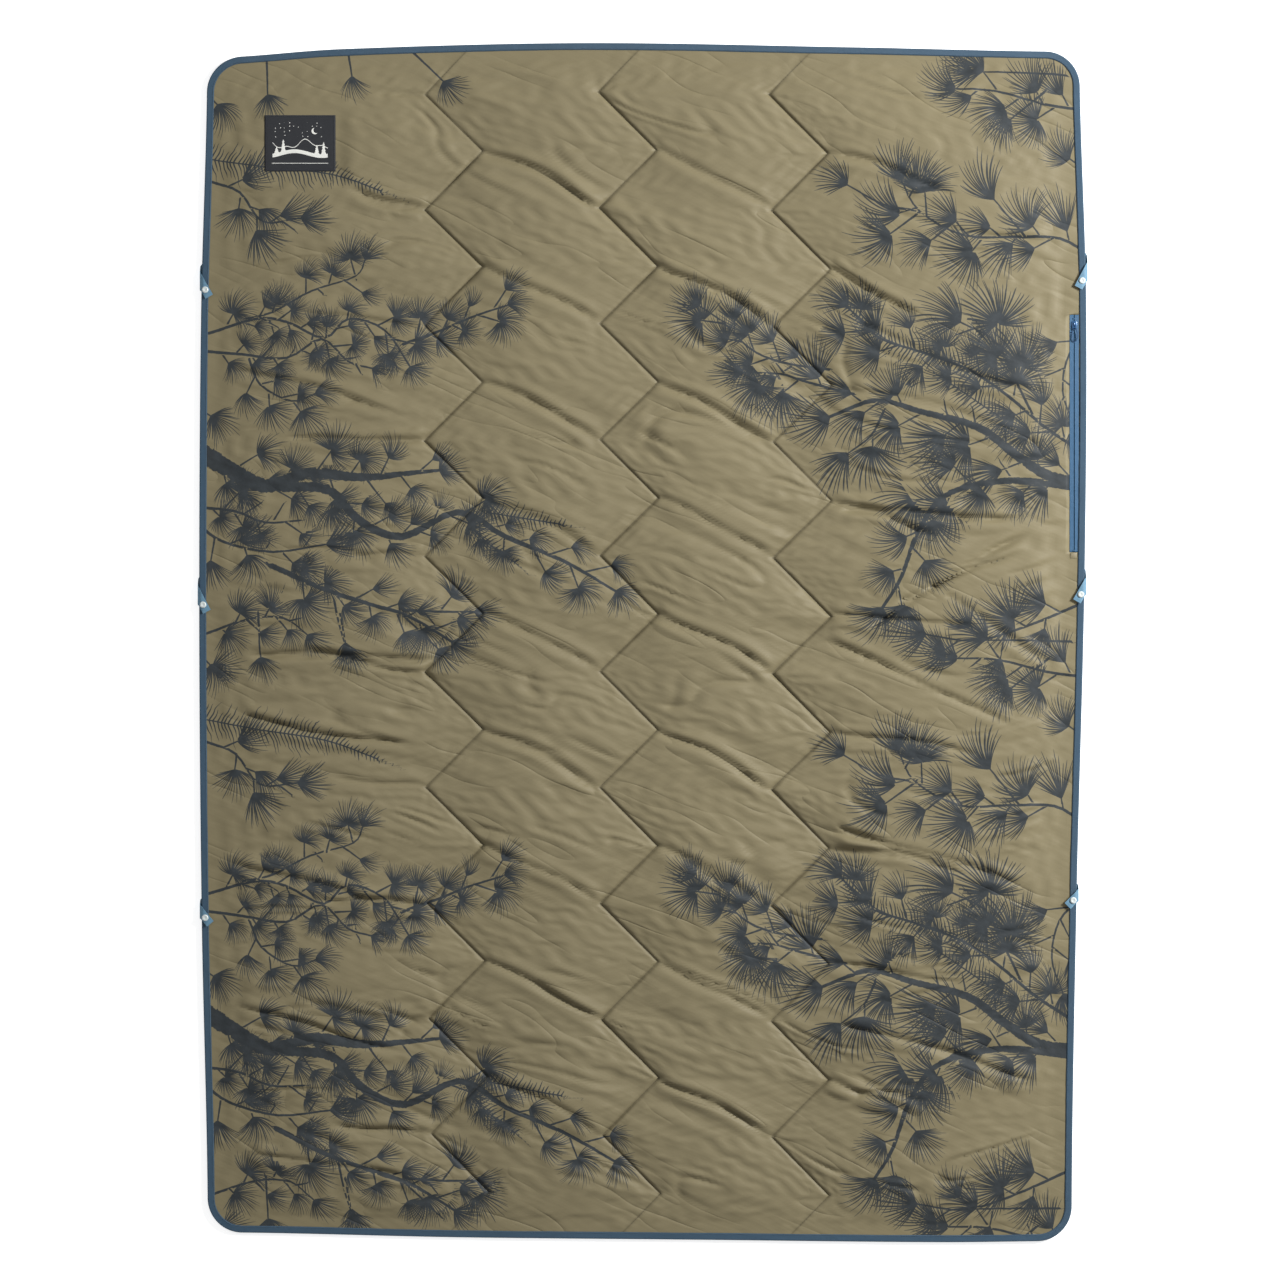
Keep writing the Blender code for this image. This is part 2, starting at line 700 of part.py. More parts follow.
def make_tab(tab, parts, cutters):
    name, side, snap_y, tilt = tab
    webbing = material_named("tab_webbing", WEBBING_BLUE, 0.7)
    resin = material_named("snap_cap", WHITE, 0.4)
    metal = material_named("snap_metal", STEEL, 0.35, 0.9)
    edge = edge_x(side, snap_y)
    tilt = math.radians(tilt)
    half = WEBBING_WIDTH / 2

    def across(inward, border):
        """Where a border of the webbing is along the blanket, at this distance in from the edge."""
        start = SNAP_INSET + border * half * math.cos(tilt)
        return snap_y + border * half * math.sin(tilt) - (inward - start) / math.tan(tilt)

    def station(inward, z, height_run=0.0):
        return [(inward, across(inward - height_run, border), z) for border in (-1, 1)]

    end = [
        (
            SNAP_INSET + STRAP_END * math.sin(tilt) + border * half * math.cos(tilt),
            snap_y - STRAP_END * math.cos(tilt) + border * half * math.sin(tilt),
            STRAP_Z,
        )
        for border in (-1, 1)
    ]
    up = (0, WEBBING)
    stations = [
        (station(STRAP_START, STRAP_FOLD_Z), up),
        (station(STRAP_BEND, STRAP_Z), up),
        (end, up),
    ]
    stations = [
        ([(i + TAB_AXIS_OUT, y, z - TAB_AXIS_Z) for i, y, z in pair], step) for pair, step in stations
    ]
    axis = (edge + side * TAB_AXIS_OUT, 0, TAB_AXIS_Z)
    strap = webbing_piece(f"tab_{name}_strap", stations, axis, side, parts, webbing)
    snap = (edge - side * SNAP_INSET, snap_y)
    stem = hole_cutter(f"stem_{name}", snap, STEM_HOLE, STRAP_Z - 0.001, STRAP_Z + 0.002, cutters)
    boolean(strap, stem, "DIFFERENCE")

    climb = ROOT_HIGH - ROOT_LOW
    back_run = climb + ROOT_REACH + ROOT_OUT
    back = [(ROOT_REACH, y, z) for _, y, z in station(-ROOT_OUT, ROOT_LOW, back_run)]
    stations = [
        (station(-ROOT_OUT, ROOT_HIGH), (-WEBBING, 0)),
        (station(-ROOT_OUT, ROOT_LOW, climb), (-WEBBING, -WEBBING)),
        (back, (0, -WEBBING)),
    ]
    webbing_piece(f"tab_{name}_root", stations, (edge, 0, 0), side, parts, webbing)

    turned(f"tab_{name}_cap", CAP, snap, parts, resin)
    turned(f"tab_{name}_socket", SOCKET, snap, parts, metal)
    turned(f"tab_{name}_stud", STUD, snap, parts, metal)
    turned(f"tab_{name}_stud_back", BACK, snap, parts, metal)
    return hole_cutter(
        f"post_{name}", snap, POST_HOLE, BINDING_LOW - 0.001, BINDING_HIGH + 0.001, cutters
    )


def main():
    for old in list(bpy.data.objects):
        bpy.data.objects.remove(old)
    parts = collection_named("camp_blanket")
    cutters = collection_named("cutters")
    layers = make_layers(parts, cutters)
    binding = make_binding(parts, cutters)
    make_pocket(parts)
    make_threads(parts)
    make_zip(parts, cutters)
    make_patch(parts)
    for tab in TABS:
        post = make_tab(tab, parts, cutters)
        for holed in (*layers, binding):
            boolean(holed, post, "DIFFERENCE")


if __name__ == "__main__":
    main()
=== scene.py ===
import math
import random

import bmesh
import bpy
import numpy as np
from bpy.props import FloatProperty, FloatVectorProperty, IntProperty, PointerProperty
from mathutils import Matrix, Vector


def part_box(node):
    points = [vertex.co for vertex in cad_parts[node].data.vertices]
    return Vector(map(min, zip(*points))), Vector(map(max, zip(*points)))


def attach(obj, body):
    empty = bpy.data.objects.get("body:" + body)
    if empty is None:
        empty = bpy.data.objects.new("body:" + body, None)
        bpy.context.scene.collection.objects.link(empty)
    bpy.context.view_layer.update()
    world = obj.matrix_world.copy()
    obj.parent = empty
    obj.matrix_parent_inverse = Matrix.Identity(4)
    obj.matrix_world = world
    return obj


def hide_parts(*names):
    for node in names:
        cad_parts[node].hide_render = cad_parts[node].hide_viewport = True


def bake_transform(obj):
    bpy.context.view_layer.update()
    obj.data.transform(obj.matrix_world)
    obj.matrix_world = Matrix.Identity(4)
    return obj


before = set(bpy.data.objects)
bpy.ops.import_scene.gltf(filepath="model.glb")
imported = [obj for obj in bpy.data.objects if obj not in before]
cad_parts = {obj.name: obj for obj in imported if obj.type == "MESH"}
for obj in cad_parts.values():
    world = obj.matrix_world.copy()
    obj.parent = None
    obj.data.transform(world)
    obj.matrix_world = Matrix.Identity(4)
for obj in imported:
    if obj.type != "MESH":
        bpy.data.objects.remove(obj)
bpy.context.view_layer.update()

bl_info = {
    "name": "Camp Blanket",
    "version": (1, 0, 0),
    "blender": (4, 5, 0),
    "location": "View3D > Sidebar > Camp Blanket",
    "description": "Builds a quilted camp blanket with its binding, zipped pocket and snap tabs",
    "category": "Add Mesh",
}

MM = 0.001
CM = 0.01

# Outline of the cloth: its size, and how far each side wanders from straight as it lies.
HALF_WIDTH = 0.7200
HALF_LENGTH = 0.9780
CORNER_RADIUS = 0.0570
SHIFT_X = 0.0007
SHIFT_Y = -0.0001
LEFT_SIDE = ((-0.98, 0.007), (-0.45, -0.003), (0.05, -0.007), (0.55, -0.004), (0.98, 0.006))
RIGHT_SIDE = ((-0.98, -0.018), (-0.42, -0.010), (0.10, 0.003), (0.56, 0.006), (0.98, -0.005))
TOP_SIDE = ((-0.72, -0.020), (-0.50, -0.006), (-0.10, 0.004), (0.35, -0.003), (0.72, -0.010))
BOTTOM_SIDE = ((-0.72, 0.012), (-0.30, 0.004), (0.10, 0.000), (0.50, -0.004), (0.72, -0.002))
LAYER_INSET = 0.0019
EDGE_S = HALF_WIDTH - LAYER_INSET
EDGE_T = HALF_LENGTH - LAYER_INSET

# Quilting: three parallel zigzags.
SEAM_MIDDLES = (-0.3054, -0.0201, 0.2610)
SEAM_LEAN = 0.0080
ZIGZAG_TOP = 0.8980
ZIGZAG_STEP = 0.0948
ZIGZAG_TURNS = 20
ZIGZAG_SWING = 0.0950

# Heights of the layers.
FABRIC = 0.0006
GAP = 0.0003
LEDGE = 0.0240
ZIP_LEDGE = 0.0310
RISE_END = 0.0980
LEDGE_TOP = 0.0080
SEAM_TOP = 0.0040
LEDGE_UNDER = 0.0021
SEAM_UNDER = 0.0008
SEAM_LIP = 0.0120

# Zip and slider, from the boxes of their nodes.
TAPE_LOW, TAPE_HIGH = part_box("zip_tape_inner")
ZIP_X = (TAPE_HIGH.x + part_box("zip_tape_outer")[0].x) / 2
ZIP_BOTTOM = TAPE_LOW.y
ZIP_TOP = TAPE_HIGH.y
WINDOW_HALF = ZIP_X - TAPE_LOW.x + GAP
SLIDER_Y = sum(corner.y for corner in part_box("zip_slider")) / 2

# Pull cord: its route from the pull tab and back, as places from the slider's middle.
CORD_DIAMETER = 0.0012
CORD_ROUTE = (
    (-0.0034, -0.0105, 0.00900),
    (-0.0031, -0.0086, 0.00890),
    (-0.0021, -0.0072, 0.00905),
    (0.0000, -0.0066, 0.01010),
    (0.0021, -0.0072, 0.01130),
    (0.0034, -0.0091, 0.01150),
    (0.0044, -0.0130, 0.01110),
    (0.0049, -0.0180, 0.01040),
    (0.0045, -0.0236, 0.00995),
    (0.0023, -0.0274, 0.00985),
    (-0.0010, -0.0279, 0.00985),
    (-0.0036, -0.0250, 0.00985),
    (-0.0041, -0.0200, 0.00980),
    (-0.0038, -0.0170, 0.00975),
    (-0.0036, -0.0141, 0.00965),
)
KNOT_PLACE = (-0.0035, -0.0123, 0.0095)
KNOT_RADIUS = 0.0014

# Snap tabs: name, side of the blanket, place of the snap along it, tilt of the webbing.
TABS = (
    ("left_top", -1, 0.5768, 30.0),
    ("left_middle", -1, 0.0618, 28.0),
    ("left_bottom", -1, -0.4501, 40.0),
    ("right_top", 1, 0.5919, 28.0),
    ("right_middle", 1, 0.0786, 30.0),
    ("right_bottom", 1, -0.4216, 45.0),
)
WEBBING_WIDTH = 0.0140
WEBBING = 0.0008
SNAP_INSET = 0.0075
STRAP_END = 0.0130
TAB_STRETCH = (0.0, 0.020, 0.045)
STRAP_START = 0.0004
STRAP_BEND = 0.0040
STRAP_FOLD_Z = 0.0095
STRAP_Z = 0.0122
ROOT_OUT = 0.0005
ROOT_REACH = 0.0095
ROOT_HIGH = 0.0086
WEBBING_LOW = 0.0009

# Print: its boughs, in centimetres on the flat cloth, and how far apart the print repeats.
# Each has its half width at root and tip (mm), the reach of its tufts (cm), the spacing of its
# side shoots (cm, 0 for none) and the points that it grows through.
PRINT_REPEAT = 0.932
BOUGHS = (
    (16.0, 2.5, 5.2, 7.0, (-73, 33), (-67, 29), (-61, 26), (-54, 28), (-45, 27), (-33, 28)),
    (8.5, 2.0, 5.2, 7.5,
     (-59, 26), (-51, 25), (-46, 20), (-39, 17), (-30, 21), (-22, 17), (-13, 13), (-4, 8)),
    (2.5, 1.5, 5.0, 6.0, (-72, 23), (-66, 22), (-61, 20), (-55, 20)),
    (2.5, 1.5, 7.0, 9.0, (-72, 20), (-68, 17), (-60, 15), (-51, 16)),
    (4.5, 2.2, 5.5, 6.5, (-60, 13), (-52, 9), (-44, 6), (-38, 4), (-31, 0)),
    (2.5, 1.5, 5.5, 6.0, (-39, 5), (-33, 5), (-27, 5)),
    (2.2, 1.2, 5.0, 6.0, (-71, 2), (-64, 4), (-58, 4), (-54, 1)),
    (2.0, 1.2, 5.5, 0.0, (-50, 7), (-49, 3), (-48, -1)),
    (2.5, 1.5, 4.6, 5.5, (-71, 52), (-63, 54), (-58, 53), (-52, 50), (-48, 53), (-42, 51), (-38, 45)),
    (2.5, 1.5, 4.6, 5.5, (-39, 49), (-33, 51), (-28, 53), (-22, 55)),
    (2.5, 1.5, 4.6, 5.5, (-71, 49), (-65, 48), (-58, 47), (-52, 50), (-48, 46), (-44, 45)),
    (2.0, 1.2, 5.0, 6.5, (-65, 54), (-60, 55), (-54, 58), (-47, 60), (-45, 63)),
    (2.0, 1.2, 5.0, 5.0, (-64, 47), (-62, 43), (-57, 40), (-53, 41)),
    (2.2, 1.4, 6.5, 6.0, (-71, 77), (-66, 75), (-62, 70), (-56, 70)),
    (2.0, 1.2, 5.0, 0.0, (-62, 98), (-62, 91)),
    (2.0, 1.2, 5.0, 0.0, (-49, 98), (-48, 93)),
    (2.0, 1.2, 5.5, 0.0, (-39, 98), (-33, 92)),
    (2.0, 1.2, 6.0, 0.0, (-73, 93), (-70, 90)),
    (2.0, 1.2, 6.0, 0.0, (-73, 40), (-70, 38)),
    (2.0, 1.2, 6.0, 0.0, (-73, -4), (-70, -4)),
    (2.5, 1.5, 7.0, 8.0, (73, 88), (66, 89), (58, 91), (51, 91)),
    (2.0, 1.2, 7.0, 0.0, (70, 94), (60, 94), (54, 94)),
    (2.2, 1.4, 6.5, 0.0, (66, 91), (60, 86)),
    (2.5, 1.4, 8.0, 7.5, (73, 64), (68, 67), (60, 67), (52, 67), (45, 71), (42, 76)),
    (2.0, 1.2, 6.5, 0.0, (44, 71), (39, 72), (33, 75)),
    (2.0, 1.2, 8.0, 8.0, (45, 71), (40, 67)),
    (2.0, 1.2, 9.0, 0.0, (62, 67), (57, 73)),
    (2.2, 1.3, 6.0, 6.0, (30, 45), (22, 46), (17, 48), (13, 52), (9, 55)),
    (2.5, 1.3, 7.0, 8.0, (34, 41), (26, 43), (22, 44), (16, 44)),
    (2.8, 1.6, 7.0, 7.0, (71, 32), (65, 36), (59, 41), (53, 45), (45, 48), (38, 50), (33, 55)),
    (2.2, 1.4, 9.0, 9.0, (63, 38), (60, 44), (57, 50), (51, 53)),
    (9.5, 2.5, 8.5, 8.0, (73, 27), (66, 28), (60, 32), (54, 36), (45, 38), (38, 40), (30, 37)),
    (2.2, 1.2, 8.5, 8.0, (39, 38), (37, 34), (33, 31)),
    (6.5, 2.5, 7.5, 8.0, (72, 26), (60, 27), (50, 25), (45, 19), (42, 11), (39, 6)),
    (2.5, 1.4, 8.0, 8.0, (72, 7), (62, 3), (54, 1), (46, 2)),
    (2.0, 1.2, 7.0, 7.0, (73, 52), (69, 48), (68, 42), (70, 36)),
    (2.0, 1.2, 6.5, 0.0, (73, 78), (70, 80)),
)
NEEDLED = (
    (1.6, 0.8, 4.2, (-72, 81), (-62, 79), (-51, 77), (-43, 74)),
    (1.6, 0.8, 3.2, (-25, 21), (-19, 20), (-13, 19)),
    (1.6, 0.8, 3.8, (-28, 19), (-25, 16), (-21, 13)),
    (1.6, 0.8, 4.6, (52, 46), (45, 48), (39, 50), (33, 55)),
    (1.6, 0.8, 4.2, (60, 36), (54, 40), (48, 44)),
)


# ---------------------------------------------------------------- sizes and colours


def tint(code):
    """The linear colour of a six digit code."""
    parts = [int(code[i:i + 2], 16) / 255 for i in (0, 2, 4)]
    return tuple(p / 12.92 if p <= 0.04045 else ((p + 0.055) / 1.055) ** 2.4 for p in parts)


def colour_setting(name, description, code):
    return FloatVectorProperty(
        name=name, description=description, default=tint(code), size=3, min=0, max=1, subtype="COLOR"
    )


class BlanketSizes(bpy.types.PropertyGroup):
    """The sizes of the blanket that a maker would change."""

    cell: FloatProperty(
        name="Cloth cell", description="Width of a face of the cloth, twice its length", default=0.0068,
        min=0.003, unit="LENGTH",
    )
    loft: FloatProperty(
        name="Loft", description="Height of the quilting between its seams", default=0.0138,
        min=0.008, max=0.03, unit="LENGTH",
    )
    fullness: FloatProperty(
        name="Fullness", description="How much longer the face fabric is cut than it lies",
        default=0.045, min=0, max=0.2, subtype="FACTOR",
    )
    frames: IntProperty(
        name="Settling", description="Frames that the face fabric settles for", default=26, min=2,
    )
    stitch: FloatProperty(
        name="Stitch", description="Length of one stitch", default=0.0036, min=0.002, unit="LENGTH",
    )
    binding: FloatProperty(
        name="Binding", description="Width of the edge binding", default=0.0120, unit="LENGTH",
    )


class BlanketColours(bpy.types.PropertyGroup):
    """The colours of the blanket's fabrics and trim."""

    face: colour_setting("Face", "Face fabric", "7A7157")
    print: colour_setting("Print", "Pine boughs printed on the face fabric", "2E3439")
    lining: colour_setting("Lining", "Back fabric", "3A4A52")
    binding: colour_setting("Binding", "Edge binding", "384E60")
    zip_tape: colour_setting("Zip tape", "Tapes of the zip", "365A79")
    zip_coil: colour_setting("Zip coil", "Coils of the zip", "2C5272")
    enamel: colour_setting("Slider", "Enamel on the slider and its pull", "26507A")
    cord: colour_setting("Pull cord", "Cord loop on the pull", "1F3F66")
    webbing: colour_setting("Webbing", "Webbing of the snap tabs", "5F8298")
    cap: colour_setting("Snap cap", "Resin of the snap caps", "C4CAC9")
    label: colour_setting("Label", "Ground of the woven label", "14171E")
    picture: colour_setting("Label picture", "Raised yarn of the woven label", "E4E4DE")
    thread: colour_setting("Quilting thread", "Thread of the quilting", "48422F")


# ---------------------------------------------------------------- shape of the cloth


def smoothstep(value):
    value = np.clip(value, 0.0, 1.0)
    return value * value * (3 - 2 * value)


def through(knots, at):
    """The smooth curve through the knots, with flat ends, read at an array of places."""
    places, values = np.array(knots, float).T
    at = np.clip(at, places[0], places[-1])
    slopes = np.zeros(len(places))
    slopes[1:-1] = (values[2:] - values[:-2]) / (places[2:] - places[:-2])
    i = np.clip(np.searchsorted(places, at, side="right") - 1, 0, len(places) - 2)
    span = places[i + 1] - places[i]
    f = (at - places[i]) / span
    ease = smoothstep(f)
    start = slopes[i] * span * f * (1 - f) ** 2
    end = slopes[i + 1] * span * f * f * (1 - f)
    return values[i] * (1 - ease) + values[i + 1] * ease + start - end


def plan(s, t, inset=LAYER_INSET):
    """Where the points (s, t) of the flat cloth lie, with its corners rounded and its sides bowed."""
    s, t = np.broadcast_arrays(np.asarray(s, float), np.asarray(t, float))
    radius = CORNER_RADIUS - inset
    over_s = np.maximum(0.0, (np.abs(s) - HALF_WIDTH + CORNER_RADIUS) / radius)
    over_t = np.maximum(0.0, (np.abs(t) - HALF_LENGTH + CORNER_RADIUS) / radius)
    pull_s = radius * over_s * (1 - np.sqrt(np.maximum(0.0, 1 - over_t**2 / 2)))
    pull_t = radius * over_t * (1 - np.sqrt(np.maximum(0.0, 1 - over_s**2 / 2)))
    s = s - np.copysign(pull_s, s)
    t = t - np.copysign(pull_t, t)
    across = (s / HALF_WIDTH + 1) / 2
    along = (t / HALF_LENGTH + 1) / 2
    x = s + (1 - across) * through(LEFT_SIDE, t) + across * through(RIGHT_SIDE, t)
    y = t + (1 - along) * through(BOTTOM_SIDE, s) + along * through(TOP_SIDE, s)
    return x + SHIFT_X, y + SHIFT_Y


def column_over(x, t):
    """The place across the flat cloth that lies at x, level with t."""
    left = through(LEFT_SIDE, t)
    right = through(RIGHT_SIDE, t)
    return (x - SHIFT_X - (left + right) / 2) / (1 + (right - left) / (2 * HALF_WIDTH))


def seam_at(middle, t):
    phase = (ZIGZAG_TOP - t) / ZIGZAG_STEP % 2
    return middle - SEAM_LEAN * t + ZIGZAG_SWING * (0.5 - np.abs(phase - 1))


def seam_distance(s, t):
    """How far a place is from its nearest seam, square to the seam."""
    return np.min([np.abs(s - seam_at(middle, t)) for middle in SEAM_MIDDLES], axis=0) / math.sqrt(2)


def edge_distance(s, t):
    return np.minimum(HALF_WIDTH - np.abs(s), HALF_LENGTH - np.abs(t))


def rise(s, t):
    """0 on the flat ledge round the edge, and 1 where the quilting is at its full height."""
    beside_zip = 1 - smoothstep((HALF_WIDTH - s - CORNER_RADIUS) / 0.05)
    ledge = LEDGE + (ZIP_LEDGE - LEDGE) * beside_zip
    return smoothstep((edge_distance(s, t) - ledge) / (RISE_END - ledge))


def face_height(s, t, loft):
    """The face fabric's outer height before it settles."""
    away = seam_distance(s, t)
    swell = 0.50 * (1 - np.exp(-away / 0.0028)) + 0.50 * (1 - np.exp(-away / 0.024))
    full = SEAM_TOP + (loft - SEAM_TOP) * swell
    return LEDGE_TOP + (full - LEDGE_TOP) * rise(s, t)


def lining_height(s, t):
    """The lining's lower height: drawn up under the seams and at the edge."""
    at_seam = np.exp(-(seam_distance(s, t) / SEAM_LIP) ** 2)
    return LEDGE_UNDER * (1 - rise(s, t)) + SEAM_UNDER * at_seam * rise(s, t)


def value_noise(x, y, seed):
    """Smooth noise from -1 to 1 on arrays of places, one cell to the unit."""
    table = np.random.default_rng(seed).uniform(-1, 1, (97, 89))
    x0 = np.floor(x).astype(int)
    y0 = np.floor(y).astype(int)
    fx = smoothstep(x - x0)
    fy = smoothstep(y - y0)
    corner = [table[(x0 + i) % 97, (y0 + j) % 89] for i in (0, 1) for j in (0, 1)]
    low = corner[0] * (1 - fy) + corner[1] * fy
    high = corner[2] * (1 - fy) + corner[3] * fy
    return low * (1 - fx) + high * fx


# ---------------------------------------------------------------- grids of cloth


def spread(start, end, count, at_start, at_end):
    """Fractions from 0 to 1 in count steps that crowd towards the ends by the given shares."""
    f = np.linspace(0, 1, count + 1)
    crowd = at_end * f * f * (1 - f) - at_start * f * (1 - f) ** 2
    return start + (end - start) * (f + crowd)


def cells_in(length, cell, split):
    """How many cells fill a length: the count at twice the cell, doubled where split."""
    count = max(1, round(length / cell / (2 if split else 1)))
    return count * (2 if split else 1)


def cloth_rows(cell, split=True):
    """Rows of the cloth's grid, some of them on the turns of the zigzags."""
    per_turn = cells_in(ZIGZAG_STEP, cell / 2, split)
    turns = ZIGZAG_TOP - ZIGZAG_STEP * np.arange(ZIGZAG_TURNS)
    ends = cells_in(EDGE_T - ZIGZAG_TOP, cell / 2, split)
    rows = [np.linspace(EDGE_T, turns[0], ends + 1)[:-1]]
    for high, low in zip(turns, turns[1:]):
        rows.append(np.linspace(high, low, per_turn + 1)[:-1])
    rows.append(np.linspace(turns[-1], -EDGE_T, ends + 1))
    rows = np.concatenate(rows)[::-1].copy()
    if split:
        for y in (ZIP_BOTTOM - GAP, ZIP_TOP + GAP):
            nearest = window_row(rows, y)
            shift = row_over(y) - rows[nearest]
            rows[nearest] += shift
            rows[nearest - 1] += shift / 2
            rows[nearest + 1] += shift / 2
    return rows


def row_over(y):
    """The place along the flat cloth that lies at y beside the zip."""
    return y - float(plan(ZIP_X, y)[1] - y)


def window_row(rows, y):
    return int(np.argmin(np.abs(rows - row_over(y))))


def zip_columns(t):
    """The edges of the zip's window across the flat cloth, straight beside the zip."""
    beyond = np.maximum(t - ZIP_TOP, ZIP_BOTTOM - t)
    fade = smoothstep(beyond / 0.10 - 0.15)
    middle = (ZIP_BOTTOM + ZIP_TOP) / 2
    found = []
    for side in (-1, 1):
        straight = column_over(ZIP_X + side * WINDOW_HALF, t)
        level = column_over(ZIP_X + side * WINDOW_HALF, np.full_like(t, middle))
        found.append(straight * (1 - fade) + level * fade)
    return found


def cloth_grid(cell, split=True):
    """The (s, t) of every crossing of the cloth's grid, its columns running along the seams, and the
    numbers of the two columns that edge the zip's window."""
    t = cloth_rows(cell, split)
    low = np.full_like(t, -EDGE_S)
    high = np.full_like(t, EDGE_S)
    stops = [low, *(seam_at(middle, t) for middle in SEAM_MIDDLES), *zip_columns(t), high]
    crowding = [(0.0, 0.7), (0.7, 0.7), (0.7, 0.7), (0.7, 0.0), (0.0, 0.0), (0.0, 0.0)]
    columns = [low[:, None]]
    for start, end, crowd in zip(stops, stops[1:], crowding):
        count = cells_in(float(np.mean(end - start)), cell, split)
        steps = spread(0.0, 1.0, count, *crowd)[1:]
        columns.append(start[:, None] + (end - start)[:, None] * steps)
    s = np.concatenate(columns, axis=1)
    right = s.shape[1] - 1 - (columns[-1].shape[1])
    left = right - columns[-2].shape[1]
    return s, np.repeat(t[:, None], s.shape[1], axis=1), (left, right)


def grid_mesh(name, places):
    """A mesh over a grid of places, given as an array of rows of columns of points."""
    rows, columns = places.shape[:2]
    shape = bmesh.new()
    bmesh.ops.create_grid(shape, x_segments=columns - 1, y_segments=rows - 1, size=0.5)
    mesh = bpy.data.meshes.new(name)
    shape.to_mesh(mesh)
    shape.free()
    flat = np.empty(len(mesh.vertices) * 3, np.float32)
    mesh.vertices.foreach_get("co", flat)
    flat = flat.reshape(-1, 3)
    i = np.rint((flat[:, 0] + 0.5) * (columns - 1)).astype(int)
    j = np.rint((flat[:, 1] + 0.5) * (rows - 1)).astype(int)
    mesh.vertices.foreach_set("co", places[j, i].astype(np.float32).ravel())
    mesh.update()
    return mesh, i, j


def linked(name, mesh, smooth=True):
    made = bpy.data.objects.new(name, mesh)
    bpy.context.scene.collection.objects.link(made)
    if smooth and made.type == "MESH":
        mesh.shade_smooth()
    return made


def from_bmesh(name, shape, smooth_angle=35.0):
    mesh = bpy.data.meshes.new(name)
    shape.to_mesh(mesh)
    shape.free()
    made = linked(name, mesh)
    if smooth_angle is not None:
        mesh.set_sharp_from_angle(angle=math.radians(smooth_angle))
    return made


def settled(made):
    """Applies an object's modifiers to its mesh."""
    graph = bpy.context.evaluated_depsgraph_get()
    mesh = bpy.data.meshes.new_from_object(made.evaluated_get(graph))
    old = made.data
    made.modifiers.clear()
    made.data = mesh
    bpy.data.meshes.remove(old)


def finer(field):
    """A grid's values on a grid with twice the rows and columns, by cubic midpoints."""
    for _ in range(2):
        padded = np.concatenate([2 * field[:1] - field[1:2], field, 2 * field[-1:] - field[-2:-1]])
        middle = (9 * (padded[1:-2] + padded[2:-1]) - padded[:-3] - padded[3:]) / 16
        out = np.empty((2 * len(field) - 1, *field.shape[1:]))
        out[::2] = field
        out[1::2] = middle
        field = np.swapaxes(out, 0, 1)
    return field


# ---------------------------------------------------------------- face fabric


CREASE_LEAN = math.radians(-24)
# How far from a seam the shade painted into the face colour and its puckers fade.
SEAM_SHADE = 0.0013
PUCKER_REACH = 0.011
# Most that the cloth moves as it settles, the height where its folds are eased down, and the room
# that they have above it.
MOST_MOVED = 0.012
EASED_FROM = 0.0165
FOLD_ROOM = 0.006


def crease_field(s, t):
    """Folds that run down to the right, turning level towards the left edge and up towards the
    right one: soft waves, and crisp lines where the fabric folds over."""
    c, d = math.cos(CREASE_LEAN), math.sin(CREASE_LEAN)
    along = s * c + t * d
    over = t * c - s * d - 1.0 * np.maximum(s - 0.30, 0) ** 2 + 0.8 * np.maximum(-0.34 - s, 0) ** 2
    over = over + 0.020 * value_noise(along / 0.24, over / 0.13, 3)
    over = over + 0.003 * value_noise(s / 0.09, t / 0.09, 4)
    wide = value_noise(along / 0.28 + 7, over / 0.042, 5)
    fine = value_noise(along / 0.22 + 3, over / 0.021, 6)
    waves = 0.0046 * wide + 0.0016 * fine
    for seed, length, width in ((7, 0.26, 0.056), (8, 0.18, 0.036)):
        line = value_noise(along / length + seed, over / width, seed)
        shown = smoothstep(1.6 * value_noise(along / 0.11 + seed, over / 0.06, seed + 40) - 0.05)
        waves -= 0.0050 * shown * np.exp(-np.abs(line) / 0.06)
        waves += 0.0022 * shown * np.exp(-((np.abs(line) - 0.20) / 0.12) ** 2)
    return waves


# Strong folds beside the outer seams, in centimetres on the flat cloth, and how strong each is.
SIDE_FOLDS = (
    ((33, 22), (60, 21), 0.9),
    ((42, 7), (62, 18), 0.8),
    ((37, 3), (60, 15), 0.7),
    ((44, 12), (69, -4), 0.6),
    ((31, 0), (60, -13), 0.8),
    ((33, -30), (62, -39), 0.8),
    ((34, -62), (65, -71), 0.7),
    ((36, 52), (62, 42), 0.7),
    ((40, 71), (67, 66), 0.6),
    ((-66, 46), (-41, 38), 0.7),
    ((-62, -2), (-33, -3), 0.9),
    ((-64, -12), (-38, -17), 0.8),
    ((-67, -36), (-42, -43), 0.7),
    ((-66, -60), (-40, -67), 0.8),
    ((-64, -85), (-38, -88), 0.6),
)


